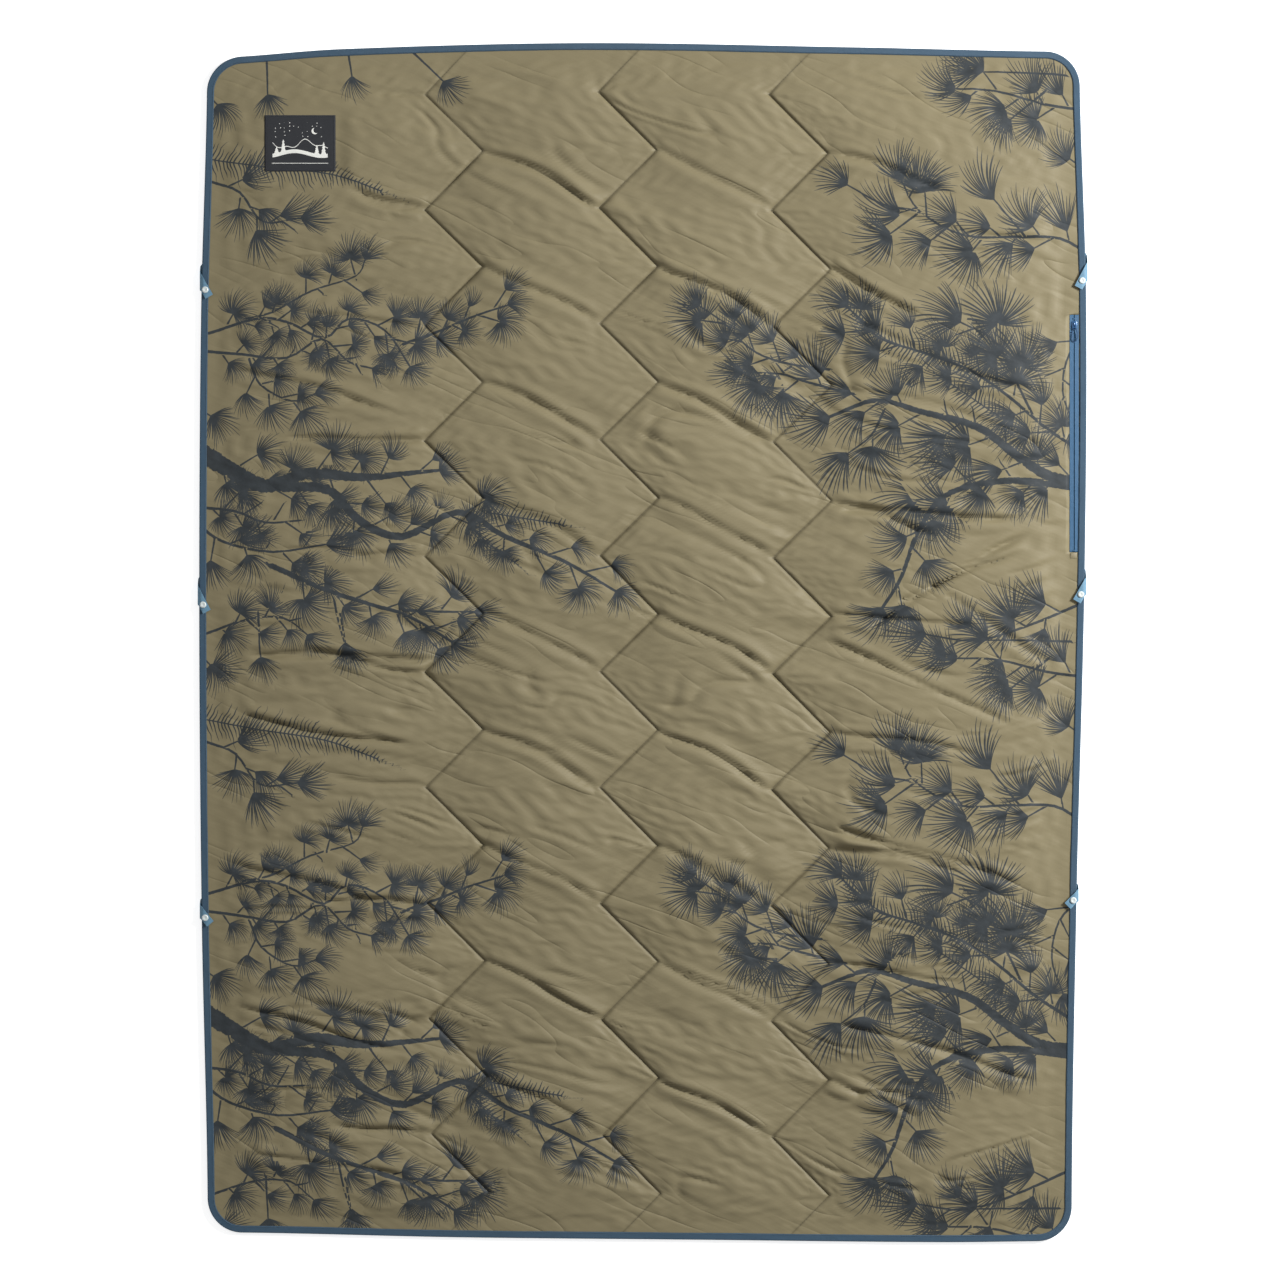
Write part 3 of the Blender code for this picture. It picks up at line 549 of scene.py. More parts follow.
def main_folds():
    """The strong folds: from each seam's right-hand turns to the next seam's left-hand turns, and
    off to both sides beyond the outer seams. Each is its start, end, arch and strength."""
    draw = random.Random(17)
    for start, end, strength in SIDE_FOLDS:
        arch = draw.uniform(-0.008, 0.010)
        yield [v * CM for v in start], [v * CM for v in end], arch, strength
    for n, middle in enumerate(SEAM_MIDDLES):
        for turn in range(ZIGZAG_TURNS - 1):
            top = ZIGZAG_TOP - ZIGZAG_STEP * turn
            start = (float(seam_at(middle, np.array(top))), top)
            if turn % 2:
                following = SEAM_MIDDLES[n + 1] if n < 2 else middle + 0.29 + draw.uniform(-0.08, 0.04)
                low = top - ZIGZAG_STEP * (1 if n < 2 else draw.uniform(0.0, 0.9))
                end = (float(seam_at(following, np.array(low))), low)
                yield start, end, draw.uniform(0.004, 0.010), draw.uniform(0.45, 1.0)
            elif n == 0:
                end = (start[0] - draw.uniform(0.10, 0.22), top + draw.uniform(0.0, 0.05))
                yield start, end, draw.uniform(-0.010, 0.006), draw.uniform(0.4, 0.9)


def main_creases(s, t):
    total = np.zeros_like(s)
    for number, (start, end, arch, strength) in enumerate(main_folds()):
        dx, dy = end[0] - start[0], end[1] - start[1]
        length = math.hypot(dx, dy)
        u = ((s - start[0]) * dx + (t - start[1]) * dy) / length**2
        v = ((t - start[1]) * dx - (s - start[0]) * dy) / length
        near = (u > -0.1) & (u < 1.1) & (np.abs(v) < 0.06)
        u, v = u[near], v[near]
        if end[0] < start[0]:
            v = -v
        bow = np.sin(math.pi * np.clip(u, 0, 1))
        v = v - arch * bow - 0.003 * np.sin(math.tau * u + number * 1.9)
        inside = smoothstep(u / 0.10 + 0.5) * smoothstep((1 - u) / 0.22 + 0.3) * strength
        second = 0.0065 * bow**0.6 * (0.8 + 0.5 * math.sin(number * 2.7))
        fold = -1.15 * np.exp(-np.abs(v) / 0.0021)
        fold -= 0.9 * np.exp(-np.abs(v + second) / 0.0019) * smoothstep(0.7 + math.sin(number * 1.3))
        fold += 0.55 * np.exp(-(((v - 0.011) / 0.008) ** 2)) + 0.45 * np.exp(-(((v + 0.016) / 0.008) ** 2))
        total[near] += inside * fold
    return 0.0094 * total


def start_shape(s, t, loft):
    x, y = plan(s, t)
    quilted = rise(s, t) * (1 - np.exp(-seam_distance(s, t) / 0.012))
    z = face_height(s, t, loft) + quilted * (crease_field(s, t) + main_creases(s, t))
    return np.stack([x, y, z], axis=-1)


def settle_face(sizes):
    """How far the face fabric moves as it settles: cut fuller than it lies, held at its seams and
    round its edge, and lifted a little by the wadding. One vector for each crossing of a grid of
    twice the cloth's cell."""
    s, t, _ = cloth_grid(2 * sizes.cell, split=False)
    start = start_shape(s, t, sizes.loft)
    mesh, i, j = grid_mesh("settling", start)
    made = linked("settling", mesh)
    hold = 1 - smoothstep((seam_distance(s, t) - 0.001) / 0.006)
    hold = np.maximum(hold, 1 - smoothstep((edge_distance(s, t) - 0.020) / 0.016))
    held = made.vertex_groups.new(name="held")
    for index, weight in enumerate(hold[j, i]):
        if weight > 0.01:
            held.add([index], float(weight), "REPLACE")
    made.shape_key_add(name="Basis")
    full = made.shape_key_add(name="cut")
    c, d = math.cos(CREASE_LEAN), math.sin(CREASE_LEAN)
    over = t * c - s * d
    cut = np.stack([s - d * over * sizes.fullness, t + c * over * sizes.fullness, start[..., 2]], axis=-1)
    cut[..., :2] += start[..., :2] - np.stack([s, t], axis=-1)
    full.data.foreach_set("co", cut[j, i].astype(np.float32).ravel())
    full.value = 0.0
    cloth = made.modifiers.new("cloth", "CLOTH")
    setting = cloth.settings
    setting.quality = 6
    setting.mass = 0.15
    setting.tension_stiffness = 12
    setting.compression_stiffness = 8
    setting.shear_stiffness = 3
    setting.bending_stiffness = 0.9
    setting.tension_damping = 8
    setting.compression_damping = 8
    setting.shear_damping = 6
    setting.bending_damping = 1.5
    setting.air_damping = 2
    setting.vertex_group_mass = "held"
    setting.rest_shape_key = full
    setting.use_pressure = True
    setting.uniform_pressure_force = 1.2
    setting.effector_weights.gravity = 0
    cloth.collision_settings.use_collision = False
    scene = bpy.context.scene
    cloth.point_cache.frame_start = 1
    cloth.point_cache.frame_end = sizes.frames
    for number in range(1, sizes.frames + 1):
        scene.frame_set(number)
    graph = bpy.context.evaluated_depsgraph_get()
    done = np.empty(len(mesh.vertices) * 3, np.float32)
    made.evaluated_get(graph).to_mesh().vertices.foreach_get("co", done)
    moved = np.zeros_like(start)
    moved[j, i] = done.reshape(-1, 3) - start[j, i]
    scene.frame_set(1)
    bpy.data.objects.remove(made)
    return np.clip(moved, -MOST_MOVED, MOST_MOVED)


PATCH_LOW, PATCH_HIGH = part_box("woven_patch")


def under_patch(x, y):
    """1 where the patch lies on the cloth, 0 beyond its edge."""
    beyond_x = np.maximum(PATCH_LOW.x - x, x - PATCH_HIGH.x)
    beyond_y = np.maximum(PATCH_LOW.y - y, y - PATCH_HIGH.y)
    return 1 - smoothstep((np.maximum(beyond_x, beyond_y) - 0.004) / 0.022)


def face_places(sizes, moved):
    """Where every crossing of the cloth's grid lies once it has settled."""
    s, t, _ = cloth_grid(sizes.cell)
    start = start_shape(s, t, sizes.loft)
    places = start + finer(moved)
    near_seam = seam_distance(s, t)
    pucker = value_noise(s / 0.0085, t / 0.0085, 11) * np.exp(-near_seam / 0.012)
    edge = edge_distance(s, t)
    along_edge = np.where(HALF_WIDTH - np.abs(s) < HALF_LENGTH - np.abs(t), t, s)
    gather = value_noise(along_edge / 0.011, edge / 0.08, 12)
    gather = gather + 0.7 * value_noise(along_edge / 0.030, edge / 0.1, 13)
    gather = gather * smoothstep((edge - 0.013) / 0.010) * np.exp(-np.maximum(edge - 0.02, 0) / 0.035)
    places[..., 2] += 0.0007 * pucker * smoothstep(near_seam / 0.004) + 0.0011 * gather
    low = face_height(s, t, sizes.loft) - 0.0072 * rise(s, t)
    free = smoothstep((near_seam - 0.0005) / 0.004)
    low = np.maximum(low * free + face_height(s, t, sizes.loft) * (1 - free), 0.0036)
    places[..., 2] = np.maximum(places[..., 2], low)
    over = places[..., 2] - EASED_FROM
    eased = EASED_FROM + FOLD_ROOM * np.tanh(over / FOLD_ROOM)
    places[..., 2] = np.where(over > 0, eased, places[..., 2])
    held = under_patch(places[..., 0], places[..., 1])
    flat = PATCH_LOW.z - GAP
    places[..., 2] = places[..., 2] * (1 - held) + np.minimum(places[..., 2], flat) * held
    at_edge = 1 - smoothstep((edge - 0.011) / 0.008)
    places[..., 2] = places[..., 2] * (1 - at_edge) + LEDGE_TOP * at_edge
    return s, t, places


def nearest_on(route, x, y):
    """How far places are from a route, and the number of the stretch nearest to each; then the
    route's points, the steps between them, their lengths and the distance passed at each point."""
    points = np.array(route, float)
    steps = np.diff(points, axis=0)
    lengths = np.hypot(*steps.T)
    passed = np.concatenate([[0.0], np.cumsum(lengths)])
    best = np.full(x.shape, 1e9)
    stretch = np.zeros(x.shape, int)
    for n, (start, step, length) in enumerate(zip(points, steps, lengths)):
        u = np.clip(((x - start[0]) * step[0] + (y - start[1]) * step[1]) / length**2, 0, 1)
        away = np.hypot(x - start[0] - u * step[0], y - start[1] - u * step[1])
        closer = away < best
        best = np.where(closer, away, best)
        stretch = np.where(closer, n, stretch)
    return best, stretch, points, steps, lengths, passed


class PrintLayers:
    """The print's tufts and twigs, written on the corners of the cloth's faces: in each layer a face
    belongs to at most one tuft or twig, and its corners hold their places on it."""

    TUFT_LAYERS = 4
    TWIG_LAYERS = 2

    def __init__(self, mesh, s, t):
        count = len(mesh.loops)
        self.mesh = mesh
        vertex = np.empty(count, np.int64)
        mesh.loops.foreach_get("vertex_index", vertex)
        self.corner = np.stack([s[vertex], t[vertex]], axis=-1)
        self.face_of = np.repeat(np.arange(len(mesh.polygons)), 4)
        self.middle = self.corner.reshape(-1, 4, 2).mean(axis=1)
        away = np.tile(np.array([2.0, 2.0, 0.0]), (count, 1))
        self.tufts = [away.copy() for _ in range(self.TUFT_LAYERS)]
        self.taken = [np.zeros(len(mesh.polygons), bool) for _ in range(self.TUFT_LAYERS)]
        self.twigs = [away.copy() for _ in range(self.TWIG_LAYERS)]
        self.twig_near = [np.full(len(mesh.polygons), 1e9) for _ in range(self.TWIG_LAYERS)]

    def tuft(self, base, heading, reach, seed, opening):
        """A fan of needles from base, opening this many half turns each side of its heading."""
        base = np.array(base)
        away = self.middle - base
        out = np.hypot(*away.T)
        turn = np.abs((np.arctan2(away[:, 1], away[:, 0]) - heading + math.pi) % math.tau - math.pi)
        near = (out < reach + 0.007) & ((turn < opening * math.pi + 0.55) | (out < 0.014))
        if not near.any():
            return
        shared = [taken[near].mean() for taken in self.taken]
        layer = int(np.argmin(shared))
        if shared[layer] > 0.30:
            return
        near &= ~self.taken[layer]
        self.taken[layer] |= near
        corners = near[self.face_of]
        offset = (self.corner[corners] - base) / reach
        c, d = math.cos(heading), math.sin(heading)
        placed = self.tufts[layer]
        placed[corners, 0] = offset[:, 0] * c + offset[:, 1] * d
        placed[corners, 1] = offset[:, 1] * c - offset[:, 0] * d
        placed[corners, 2] = seed + opening

    def twig(self, route, root, tip, needles=0.0):
        """A twig along a route, narrowing from root to tip, in half widths. With needles, they stand
        that long on both its sides."""
        layer = 1 if needles else 0
        reach = max(root, needles) + 0.007
        low = np.min(route, axis=0) - reach
        high = np.max(route, axis=0) + reach
        inside = np.all((self.middle > low) & (self.middle < high), axis=1)
        faces = np.flatnonzero(inside)
        if not len(faces):
            return
        middle = self.middle[faces]
        best, stretch, points, steps, lengths, passed = nearest_on(route, middle[:, 0], middle[:, 1])
        outside = best - (root + (tip - root) * passed[stretch] / passed[-1])
        keep = (best < reach) & (outside < self.twig_near[layer][faces])
        faces, stretch = faces[keep], stretch[keep]
        self.twig_near[layer][faces] = outside[keep]
        corners = (faces[:, None] * 4 + np.arange(4)).ravel()
        stretch = np.repeat(stretch, 4)
        unit = steps[stretch] / lengths[stretch][:, None]
        offset = self.corner[corners] - points[stretch]
        along = (offset * unit).sum(axis=1)
        across = offset[:, 1] * unit[:, 0] - offset[:, 0] * unit[:, 1]
        past = np.where(stretch == len(steps) - 1, along - lengths[stretch], 0.0)
        past = np.maximum(np.maximum(0.0, past), np.where(stretch == 0, -along, 0.0))
        past = np.where(past > 0.004, past, 0.0)
        share = np.clip((passed[stretch] + along) / passed[-1], 0, 1)
        width = root + (tip - root) * share
        placed = self.twigs[layer]
        placed[corners, 0] = passed[stretch] + along
        placed[corners, 1] = np.where(past > 0, np.copysign(np.hypot(across, past), across), across)
        placed[corners, 2] = needles * np.clip(2.2 * (1 - share), 0.35, 1.0) if needles else width

    def store(self):
        named = [(f"tufts_{n}", layer) for n, layer in enumerate(self.tufts, 1)]
        named += [("twigs", self.twigs[0]), ("needled_twigs", self.twigs[1])]
        for name, layer in named:
            attribute = self.mesh.attributes.new(name, "FLOAT_VECTOR", "CORNER")
            attribute.data.foreach_set("vector", layer.astype(np.float32).ravel())


def rounded_route(points, steps=4):
    """A smooth run of points through the given ones."""
    places = [np.array(p, float) for p in points]
    places = [2 * places[0] - places[1], *places, 2 * places[-1] - places[-2]]
    found = []
    for a, b, c, d in zip(places, places[1:], places[2:], places[3:]):
        for step in range(steps):
            f = step / steps
            found.append(
                0.5 * (2 * b + (c - a) * f + (2 * a - 5 * b + 4 * c - d) * f**2
                       + (3 * b - a - 3 * c + d) * f**3)
            )
    return found + [places[-2]]


def grow_bough(layers, bough, shift, draw):
    """One bough of the print: its wood, side shoots to left and right in turn, and their tufts."""
    root, tip, reach, spacing, *points = bough
    reach *= CM
    route = [np.array(p) * CM + shift for p in points]
    route = rounded_route([p + np.array([draw.uniform(-1, 1), draw.uniform(-1, 1)]) * 0.002 for p in route])
    layers.twig(route, root * MM, tip * MM)
    steps = np.diff(route, axis=0)
    lengths = np.hypot(*steps.T)
    total = lengths.sum()
    headings = np.arctan2(steps[:, 1], steps[:, 0])
    end = headings[-1]
    layers.tuft(
        route[-1], end + draw.uniform(-0.2, 0.2), reach, draw.randrange(1, 60), draw.uniform(0.24, 0.42)
    )
    if not spacing:
        return
    side = draw.choice((-1, 1))
    at = spacing * CM * draw.uniform(0.35, 0.8)
    passed = np.concatenate([[0.0], np.cumsum(lengths)])
    while at < total - 0.025:
        n = int(np.searchsorted(passed, at, side="right") - 1)
        base = route[n] + steps[n] * (at - passed[n]) / lengths[n]
        turn = headings[n] + side * draw.uniform(0.6, 1.15)
        length = draw.uniform(0.008, 0.040) + root * MM
        shoot_end = base + length * np.array([math.cos(turn), math.sin(turn)])
        turn_end = turn - side * draw.uniform(0.1, 0.45)
        knee = base + 0.55 * length * np.array([math.cos(turn), math.sin(turn)])
        layers.twig([base, knee, shoot_end], min(root, 2.2) * MM * 0.8, 1.1 * MM)
        layers.tuft(
            shoot_end, turn_end, reach * draw.uniform(0.78, 1.12), draw.randrange(1, 60),
            draw.choice((0.24, 0.30, 0.36, 0.42, 0.50, 0.64)),
        )
        side = -side
        at += spacing * CM * draw.uniform(0.27, 0.52)


def print_boughs(mesh, s, t):
    """Writes the whole print on the cloth. Every repeat of the print is the same."""
    layers = PrintLayers(mesh, s, t)
    for repeat in range(3):
        draw = random.Random(41)
        shift = np.array([0.0, -PRINT_REPEAT * repeat])
        for bough in BOUGHS:
            grow_bough(layers, bough, shift, draw)
        for root, tip, needles, *points in NEEDLED:
            route = rounded_route([np.array(p) * CM + shift for p in points])
            layers.twig(route, root * MM, tip * MM, needles * CM)
    layers.store()


# ---------------------------------------------------------------- materials


class Wire:
    """A socket that Python's operators can work on: each one adds a Math node."""

    def __init__(self, finish, socket):
        self.finish = finish
        self.socket = socket

    def maths(self, operation, *others):
        values = {n: value for n, value in enumerate((self, *others))}
        return self.finish.node("Math", {"operation": operation}, values)

    def before(self, operation, other):
        return self.finish.node("Math", {"operation": operation}, {0: other, 1: self})

    def __add__(self, other):
        return self.maths("ADD", other)

    def __sub__(self, other):
        return self.maths("SUBTRACT", other)

    def __mul__(self, other):
        return self.maths("MULTIPLY", other)

    def __truediv__(self, other):
        return self.maths("DIVIDE", other)

    def __pow__(self, other):
        return self.maths("POWER", other)

    def __lt__(self, other):
        return self.maths("LESS_THAN", other)

    def __gt__(self, other):
        return self.maths("GREATER_THAN", other)

    def __rsub__(self, other):
        return self.before("SUBTRACT", other)

    def __rtruediv__(self, other):
        return self.before("DIVIDE", other)

    def __neg__(self):
        return self.maths("MULTIPLY", -1.0)

    def __abs__(self):
        return self.maths("ABSOLUTE")

    __radd__ = __add__
    __rmul__ = __mul__


class Finish:
    """A material being wired: its nodes, and the Principled shader that they end in."""

    def __init__(self, name, colour, roughness, **constants):
        self.material = bpy.data.materials.new(name)
        self.material.use_nodes = True
        self.tree = self.material.node_tree
        self.shader = self.tree.nodes["Principled BSDF"]
        self.colour = (*colour, 1.0)
        self.shader.inputs["Base Color"].default_value = self.colour
        self.shader.inputs["Roughness"].default_value = roughness
        for socket, value in constants.items():
            self.shader.inputs[socket.replace("_", " ")].default_value = value

    def node(self, kind, settings=None, sockets=None, out=0):
        """Adds a node: its type, its settings, the values or wires of its sockets, and which output."""
        made = self.tree.nodes.new("ShaderNode" + kind)
        for name, value in (settings or {}).items():
            if name == "stops":
                for stop, (place, colour) in zip(made.color_ramp.elements, value):
                    stop.position = place
                    stop.color = colour
            else:
                setattr(made, name, value)
        for key, value in (sockets or {}).items():
            if isinstance(value, Wire):
                self.tree.links.new(value.socket, made.inputs[key])
            else:
                made.inputs[key].default_value = value
        return Wire(self, made.outputs[out])

    def feed(self, socket, wire):
        self.tree.links.new(wire.socket, self.shader.inputs[socket])

    def attribute(self, name):
        return self.node("Attribute", {"attribute_name": name}, out="Vector")

    def place(self):
        return self.node("TexCoord", out="Object")

    def parts(self, vector):
        split = self.node("SeparateXYZ", sockets={0: vector})
        outputs = split.socket.node.outputs
        return [Wire(self, socket) for socket in outputs]

    def join(self, x, y, z=0.0):
        return self.node("CombineXYZ", sockets={0: x, 1: y, 2: z})

    def noise(self, vector, scale, detail=2.0, roughness=0.5):
        return self.node(
            "TexNoise", sockets={"Vector": vector, "Scale": scale, "Detail": detail, "Roughness": roughness}
        )

    def ramp(self, value, low, high):
        """0 below low, 1 above high and smooth between."""
        sockets = {"Value": value, "From Min": low, "From Max": high}
        return self.node("MapRange", {"interpolation_type": "SMOOTHSTEP"}, sockets)

    def mix(self, factor, first, second):
        sockets = {0: factor, 6: first, 7: second}
        return self.node("Mix", {"data_type": "RGBA"}, sockets, out=2)

    def shade(self, colour, amount):
        """A colour made lighter or darker by a varying amount around 1."""
        scaled = self.join(amount, amount, amount)
        if not isinstance(colour, Wire):
            colour = tuple(colour)[:3]
        return self.node("VectorMath", {"operation": "MULTIPLY"}, {0: colour, 1: scaled})

    def bump(self, height, distance, strength=1.0, after=None):
        sockets = {"Height": height, "Distance": distance, "Strength": strength}
        if after is not None:
            sockets["Normal"] = after
        return self.node("Bump", sockets=sockets)

    def hash(self, value):
        """A number from 0 to 1 that looks unrelated to the value."""
        return ((value * 12.9898).maths("SINE") * 43758.5453).maths("FRACT")

    def wave(self, value, pitch):
        """A smooth ridge pattern from 0 to 1, this far apart."""
        return (value * (math.tau / pitch)).maths("SINE") * 0.5 + 0.5


def tuft_mask(finish, name):
    """Needles that fan out and forward from the foot of each tuft in a layer of the print."""
    a, b, code = finish.parts(finish.attribute(name))
    seed = code.maths("FLOOR")
    opening = code.maths("FRACT") * math.pi
    back = 0.02 + 0.05 * finish.hash(seed + 0.71)
    a = a + back
    radius = (a * a + b * b).maths("SQRT")
    out = radius - back
    bend = (finish.hash(seed + 0.37) - 0.5) * 1.0
    angle = b.maths("ARCTAN2", a) + bend * out
    turn = abs(angle) / opening
    total = finish.ramp((0.21 * (1 - turn * turn) - out) * 12.0, -0.6, 0.4) * (out > 0.0)
    for cells, shift in ((53, 0.0), (37, 5.3)):
        cell_angle = math.tau / cells
        turned = angle / cell_angle + shift
        cell = turned.maths("FLOOR")
        chance = finish.hash(cell + seed * 7.31 + shift)
        other = finish.hash(cell * 1.7 + seed * 3.17)
        length = (0.66 + 0.34 * chance) * (1.0 - 0.35 * turn * turn)
        off = abs(turned - cell - (0.5 + (other - 0.5) * 0.5)) * radius * cell_angle
        thick = (1 - out / length).maths("MAXIMUM", 0.0) ** 0.35 * 0.0165
        strand = finish.ramp((thick - off) * 90.0, -0.3, 0.5)
        total = total.maths("MAXIMUM", strand * (out < length))
    return total * (turn < 1.0) * (out > -0.02)


def twig_mask(finish, name):
    """Wood along each twig in a layer of the print."""
    along, across, half = finish.parts(finish.attribute(name))
    knots = finish.noise(finish.join(along, across), 160.0, 2.0)
    width = half * (0.7 + 0.6 * knots)
    return finish.ramp((width - abs(across)) * 1000.0, -0.35, 0.35) * (half < 0.1)


NEEDLE_PITCH = 0.0066


def needle_mask(finish, name):
    """Needles that stand along both sides of each needled twig, swept towards its tip."""
    along, across, reach = finish.parts(finish.attribute(name))
    out = abs(across)
    sway = finish.noise(finish.join(along, across), 38.0, 1.0) * 0.022
    row = (along - out * 0.80 + across * 0.12 + sway * out * 30.0) / NEEDLE_PITCH
    cell = row.maths("FLOOR")
    chance = finish.hash(cell + (across > 0.0) * 91.7)
    length = reach * (0.40 + 0.60 * chance)
    off = abs(row - cell - (0.3 + 0.4 * finish.hash(cell + 5.1))) * (NEEDLE_PITCH * 0.72)
    thick = (1 - out / length).maths("MAXIMUM", 0.0).maths("SQRT") * 0.00105
    strand = finish.ramp((thick - off) * 1000.0, -0.2, 0.25)
    wood = finish.ramp((0.0011 - out) * 1000.0, -0.3, 0.3)
    return (strand * (out < length)).maths("MAXIMUM", wood) * (reach < 0.1) * (reach > 0.001)


def face_finish(colours):
    """Satin polyester, printed with pine boughs."""
    finish = Finish(
        "face_satin", colours.face, 0.5, Specular_IOR_Level=0.2, Sheen_Weight=0.05, Sheen_Roughness=0.4
    )
    cloth = finish.attribute("cloth")
    s, t, away = finish.parts(cloth)
    mask = None
    for number in range(1, PrintLayers.TUFT_LAYERS + 1):
        tufts = tuft_mask(finish, f"tufts_{number}")
        mask = tufts if mask is None else mask.maths("MAXIMUM", tufts)
    mask = mask.maths("MAXIMUM", twig_mask(finish, "twigs"))
    mask = mask.maths("MAXIMUM", needle_mask(finish, "needled_twigs"))
    broad = finish.noise(cloth, 2.6, 2.0)
    speck = finish.noise(cloth, 900.0, 1.0)
    # Painted shade: the face colour is darkened close to each seam, where the seam's valley lies in shade.
    painted_seam_shade = (away * (-1.0 / SEAM_SHADE)).maths("EXPONENT")
    ground = finish.shade(finish.colour, (0.90 + 0.14 * broad + 0.10 * (speck - 0.5)) * (1.0 - 0.42 * painted_seam_shade))
    wash = finish.noise(cloth, 75.0, 3.0, 0.65)
    ink = finish.shade((*colours.print, 1.0), 0.50 + 0.80 * wash)
    finish.feed("Base Color", finish.mix(mask * 0.97, ground, ink))
    finish.feed("Roughness", 0.47 + 0.12 * finish.noise(cloth, 30.0, 2.0) + 0.06 * mask)
    weft = finish.wave(t, 0.00042)
    warp = finish.wave(s, 0.00030)
    ripstop = (finish.wave(s, 0.005) ** 24.0).maths("MAXIMUM", finish.wave(t, 0.005) ** 24.0)
    fine = finish.bump(weft * 0.6 + warp * 0.4 + ripstop * 0.5, 0.00004, 0.5)
    c, d = math.cos(CREASE_LEAN), math.sin(CREASE_LEAN)
    along = s * c + t * d
    over = t * c - s * d + 0.018 * finish.noise(finish.join(along * 5.0, t * 9.0), 1.0, 1.0)
    soft = finish.noise(finish.join(along * 7.0, over * 55.0), 1.0, 2.0, 0.5)
    sheet = finish.noise(finish.join(along * 5.0, over * 26.0, 3.7), 1.0, 1.0)
    shown = finish.ramp(finish.noise(finish.join(along * 6.0, over * 14.0, 8.2), 1.0, 1.0), 0.44, 0.62)
    line = (1.0 - abs(sheet * 2.0 - 1.0)) ** 14.0 * shown
    pucker = (away * (-1.0 / PUCKER_REACH)).maths("EXPONENT")
    crease = soft * (0.7 + 1.3 * pucker) - 0.7 * line
    finish.feed("Normal", finish.bump(crease, 0.0015, 1.0, fine))
    return finish.material


def plain_finish(name, colour, roughness=0.8, scale=0.0006, **constants):
    """A plain woven fabric."""
    finish = Finish(name, colour, roughness, **constants)
    place = finish.place()
    x, y, _ = finish.parts(place)
    weave = finish.wave(x, scale) * finish.wave(y, scale)
    broad = finish.noise(place, 9.0, 3.0)
    finish.feed("Base Color", finish.shade(finish.colour, 0.80 + 0.25 * broad + 0.15 * weave))
    finish.feed("Roughness", roughness - 0.08 + 0.14 * finish.noise(place, 60.0))
    finish.feed("Normal", finish.bump(weave, 0.0001, 0.5))
    return finish.material


# ---------------------------------------------------------------- pieces


def dress(made, material, node_slot, body="root", nodes=()):
    """Gives a piece its material, its body and the nodes it stands for. Its material slot, node_slot, is not
    used.
    """
    made.data.materials.clear()
    made.data.materials.append(material)
    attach(made, body)
    if nodes:
        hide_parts(*nodes)
    return made


def store_cloth(mesh, s, t, away=0.0):
    """Keeps each point's place on the flat cloth and, on the face, how far it is from a seam."""
    attribute = mesh.attributes.new("cloth", "FLOAT_VECTOR", "POINT")
    flat = np.stack([s, t, np.zeros_like(s) + away], axis=-1)
    attribute.data.foreach_set("vector", flat.astype(np.float32).ravel())


def thicken(made, thickness, offset=-1.0):
    solid = made.modifiers.new("thickness", "SOLIDIFY")
    solid.thickness = thickness
    solid.offset = offset
    solid.use_even_offset = False
    settled(made)


def make_face(sizes, colours):
    s, t, places = face_places(sizes, settle_face(sizes))
    mesh, i, j = grid_mesh("face_fabric_cover", places)
    print_boughs(mesh, s[j, i], t[j, i])
    store_cloth(mesh, s[j, i], t[j, i], seam_distance(s, t)[j, i])
    _, _, (left, right) = cloth_grid(sizes.cell)
    low = window_row(cloth_rows(sizes.cell), ZIP_BOTTOM - GAP)
    high = window_row(cloth_rows(sizes.cell), ZIP_TOP + GAP)
    shape = bmesh.new()
    shape.from_mesh(mesh)
    shape.faces.ensure_lookup_table()
    opening = [
        face for face in shape.faces
        if all(left <= i[v.index] <= right and low <= j[v.index] <= high for v in face.verts)
    ]
    bmesh.ops.delete(shape, geom=opening, context="FACES")
    shape.to_mesh(mesh)
    shape.free()
    made = linked("quilted_face", mesh)
    thicken(made, FABRIC)
    made.data.shade_smooth()
    dress(made, face_finish(colours), "face_fabric", nodes=["face_fabric"])
    return made


def make_underlayers(sizes, colours):
    """The lining, and the wadding between it and the face fabric."""
    s, t, _ = cloth_grid(sizes.cell * 2)
    x, y = plan(s, t)
    low = lining_height(s, t)
    mesh, i, j = grid_mesh("lining_cloth", np.stack([x, y, low + FABRIC], axis=-1))
    store_cloth(mesh, s[j, i], t[j, i])
    lining = linked("lining_cloth", mesh)
    thicken(lining, FABRIC)
    lining.data.shade_smooth()
    finish = plain_finish("lining_weave", colours.lining, 0.7, Sheen_Weight=0.2)
    dress(lining, finish, "lining", nodes=["lining"])

    s, t, _ = cloth_grid(sizes.cell * 4)
    x, y = plan(s, t, LAYER_INSET)
    top = face_height(s, t, sizes.loft) - 0.0085 * rise(s, t) - 2 * FABRIC
    in_zip = smoothstep((s - 0.66) / 0.02) * (t > 0.10) * (t < 0.58)
    top = np.maximum(top * (1 - in_zip) + 0.0040 * in_zip, lining_height(s, t) + 0.0017)
    mesh, i, j = grid_mesh("wadding", np.stack([x, y, top], axis=-1))
    wadding = linked("wadding", mesh)
    shape = bmesh.new()
    shape.from_mesh(mesh)
    grown = bmesh.ops.extrude_face_region(shape, geom=shape.faces[:])["geom"]
    shape.verts.ensure_lookup_table()
    for vertex in grown:
        if isinstance(vertex, bmesh.types.BMVert):
            vertex.co.z += 1.0
    for vertex in shape.verts:
        if vertex.co.z > 0.5:
            vertex.co.z -= 1.0
        else:
            vertex.co.z = 0.0024 if vertex.co.z > 0.0024 else vertex.co.z
    bmesh.ops.recalc_face_normals(shape, faces=shape.faces)
    shape.to_mesh(mesh)
    shape.free()
    dress(wadding, wadding_finish(), "batting", nodes=["insulation"])


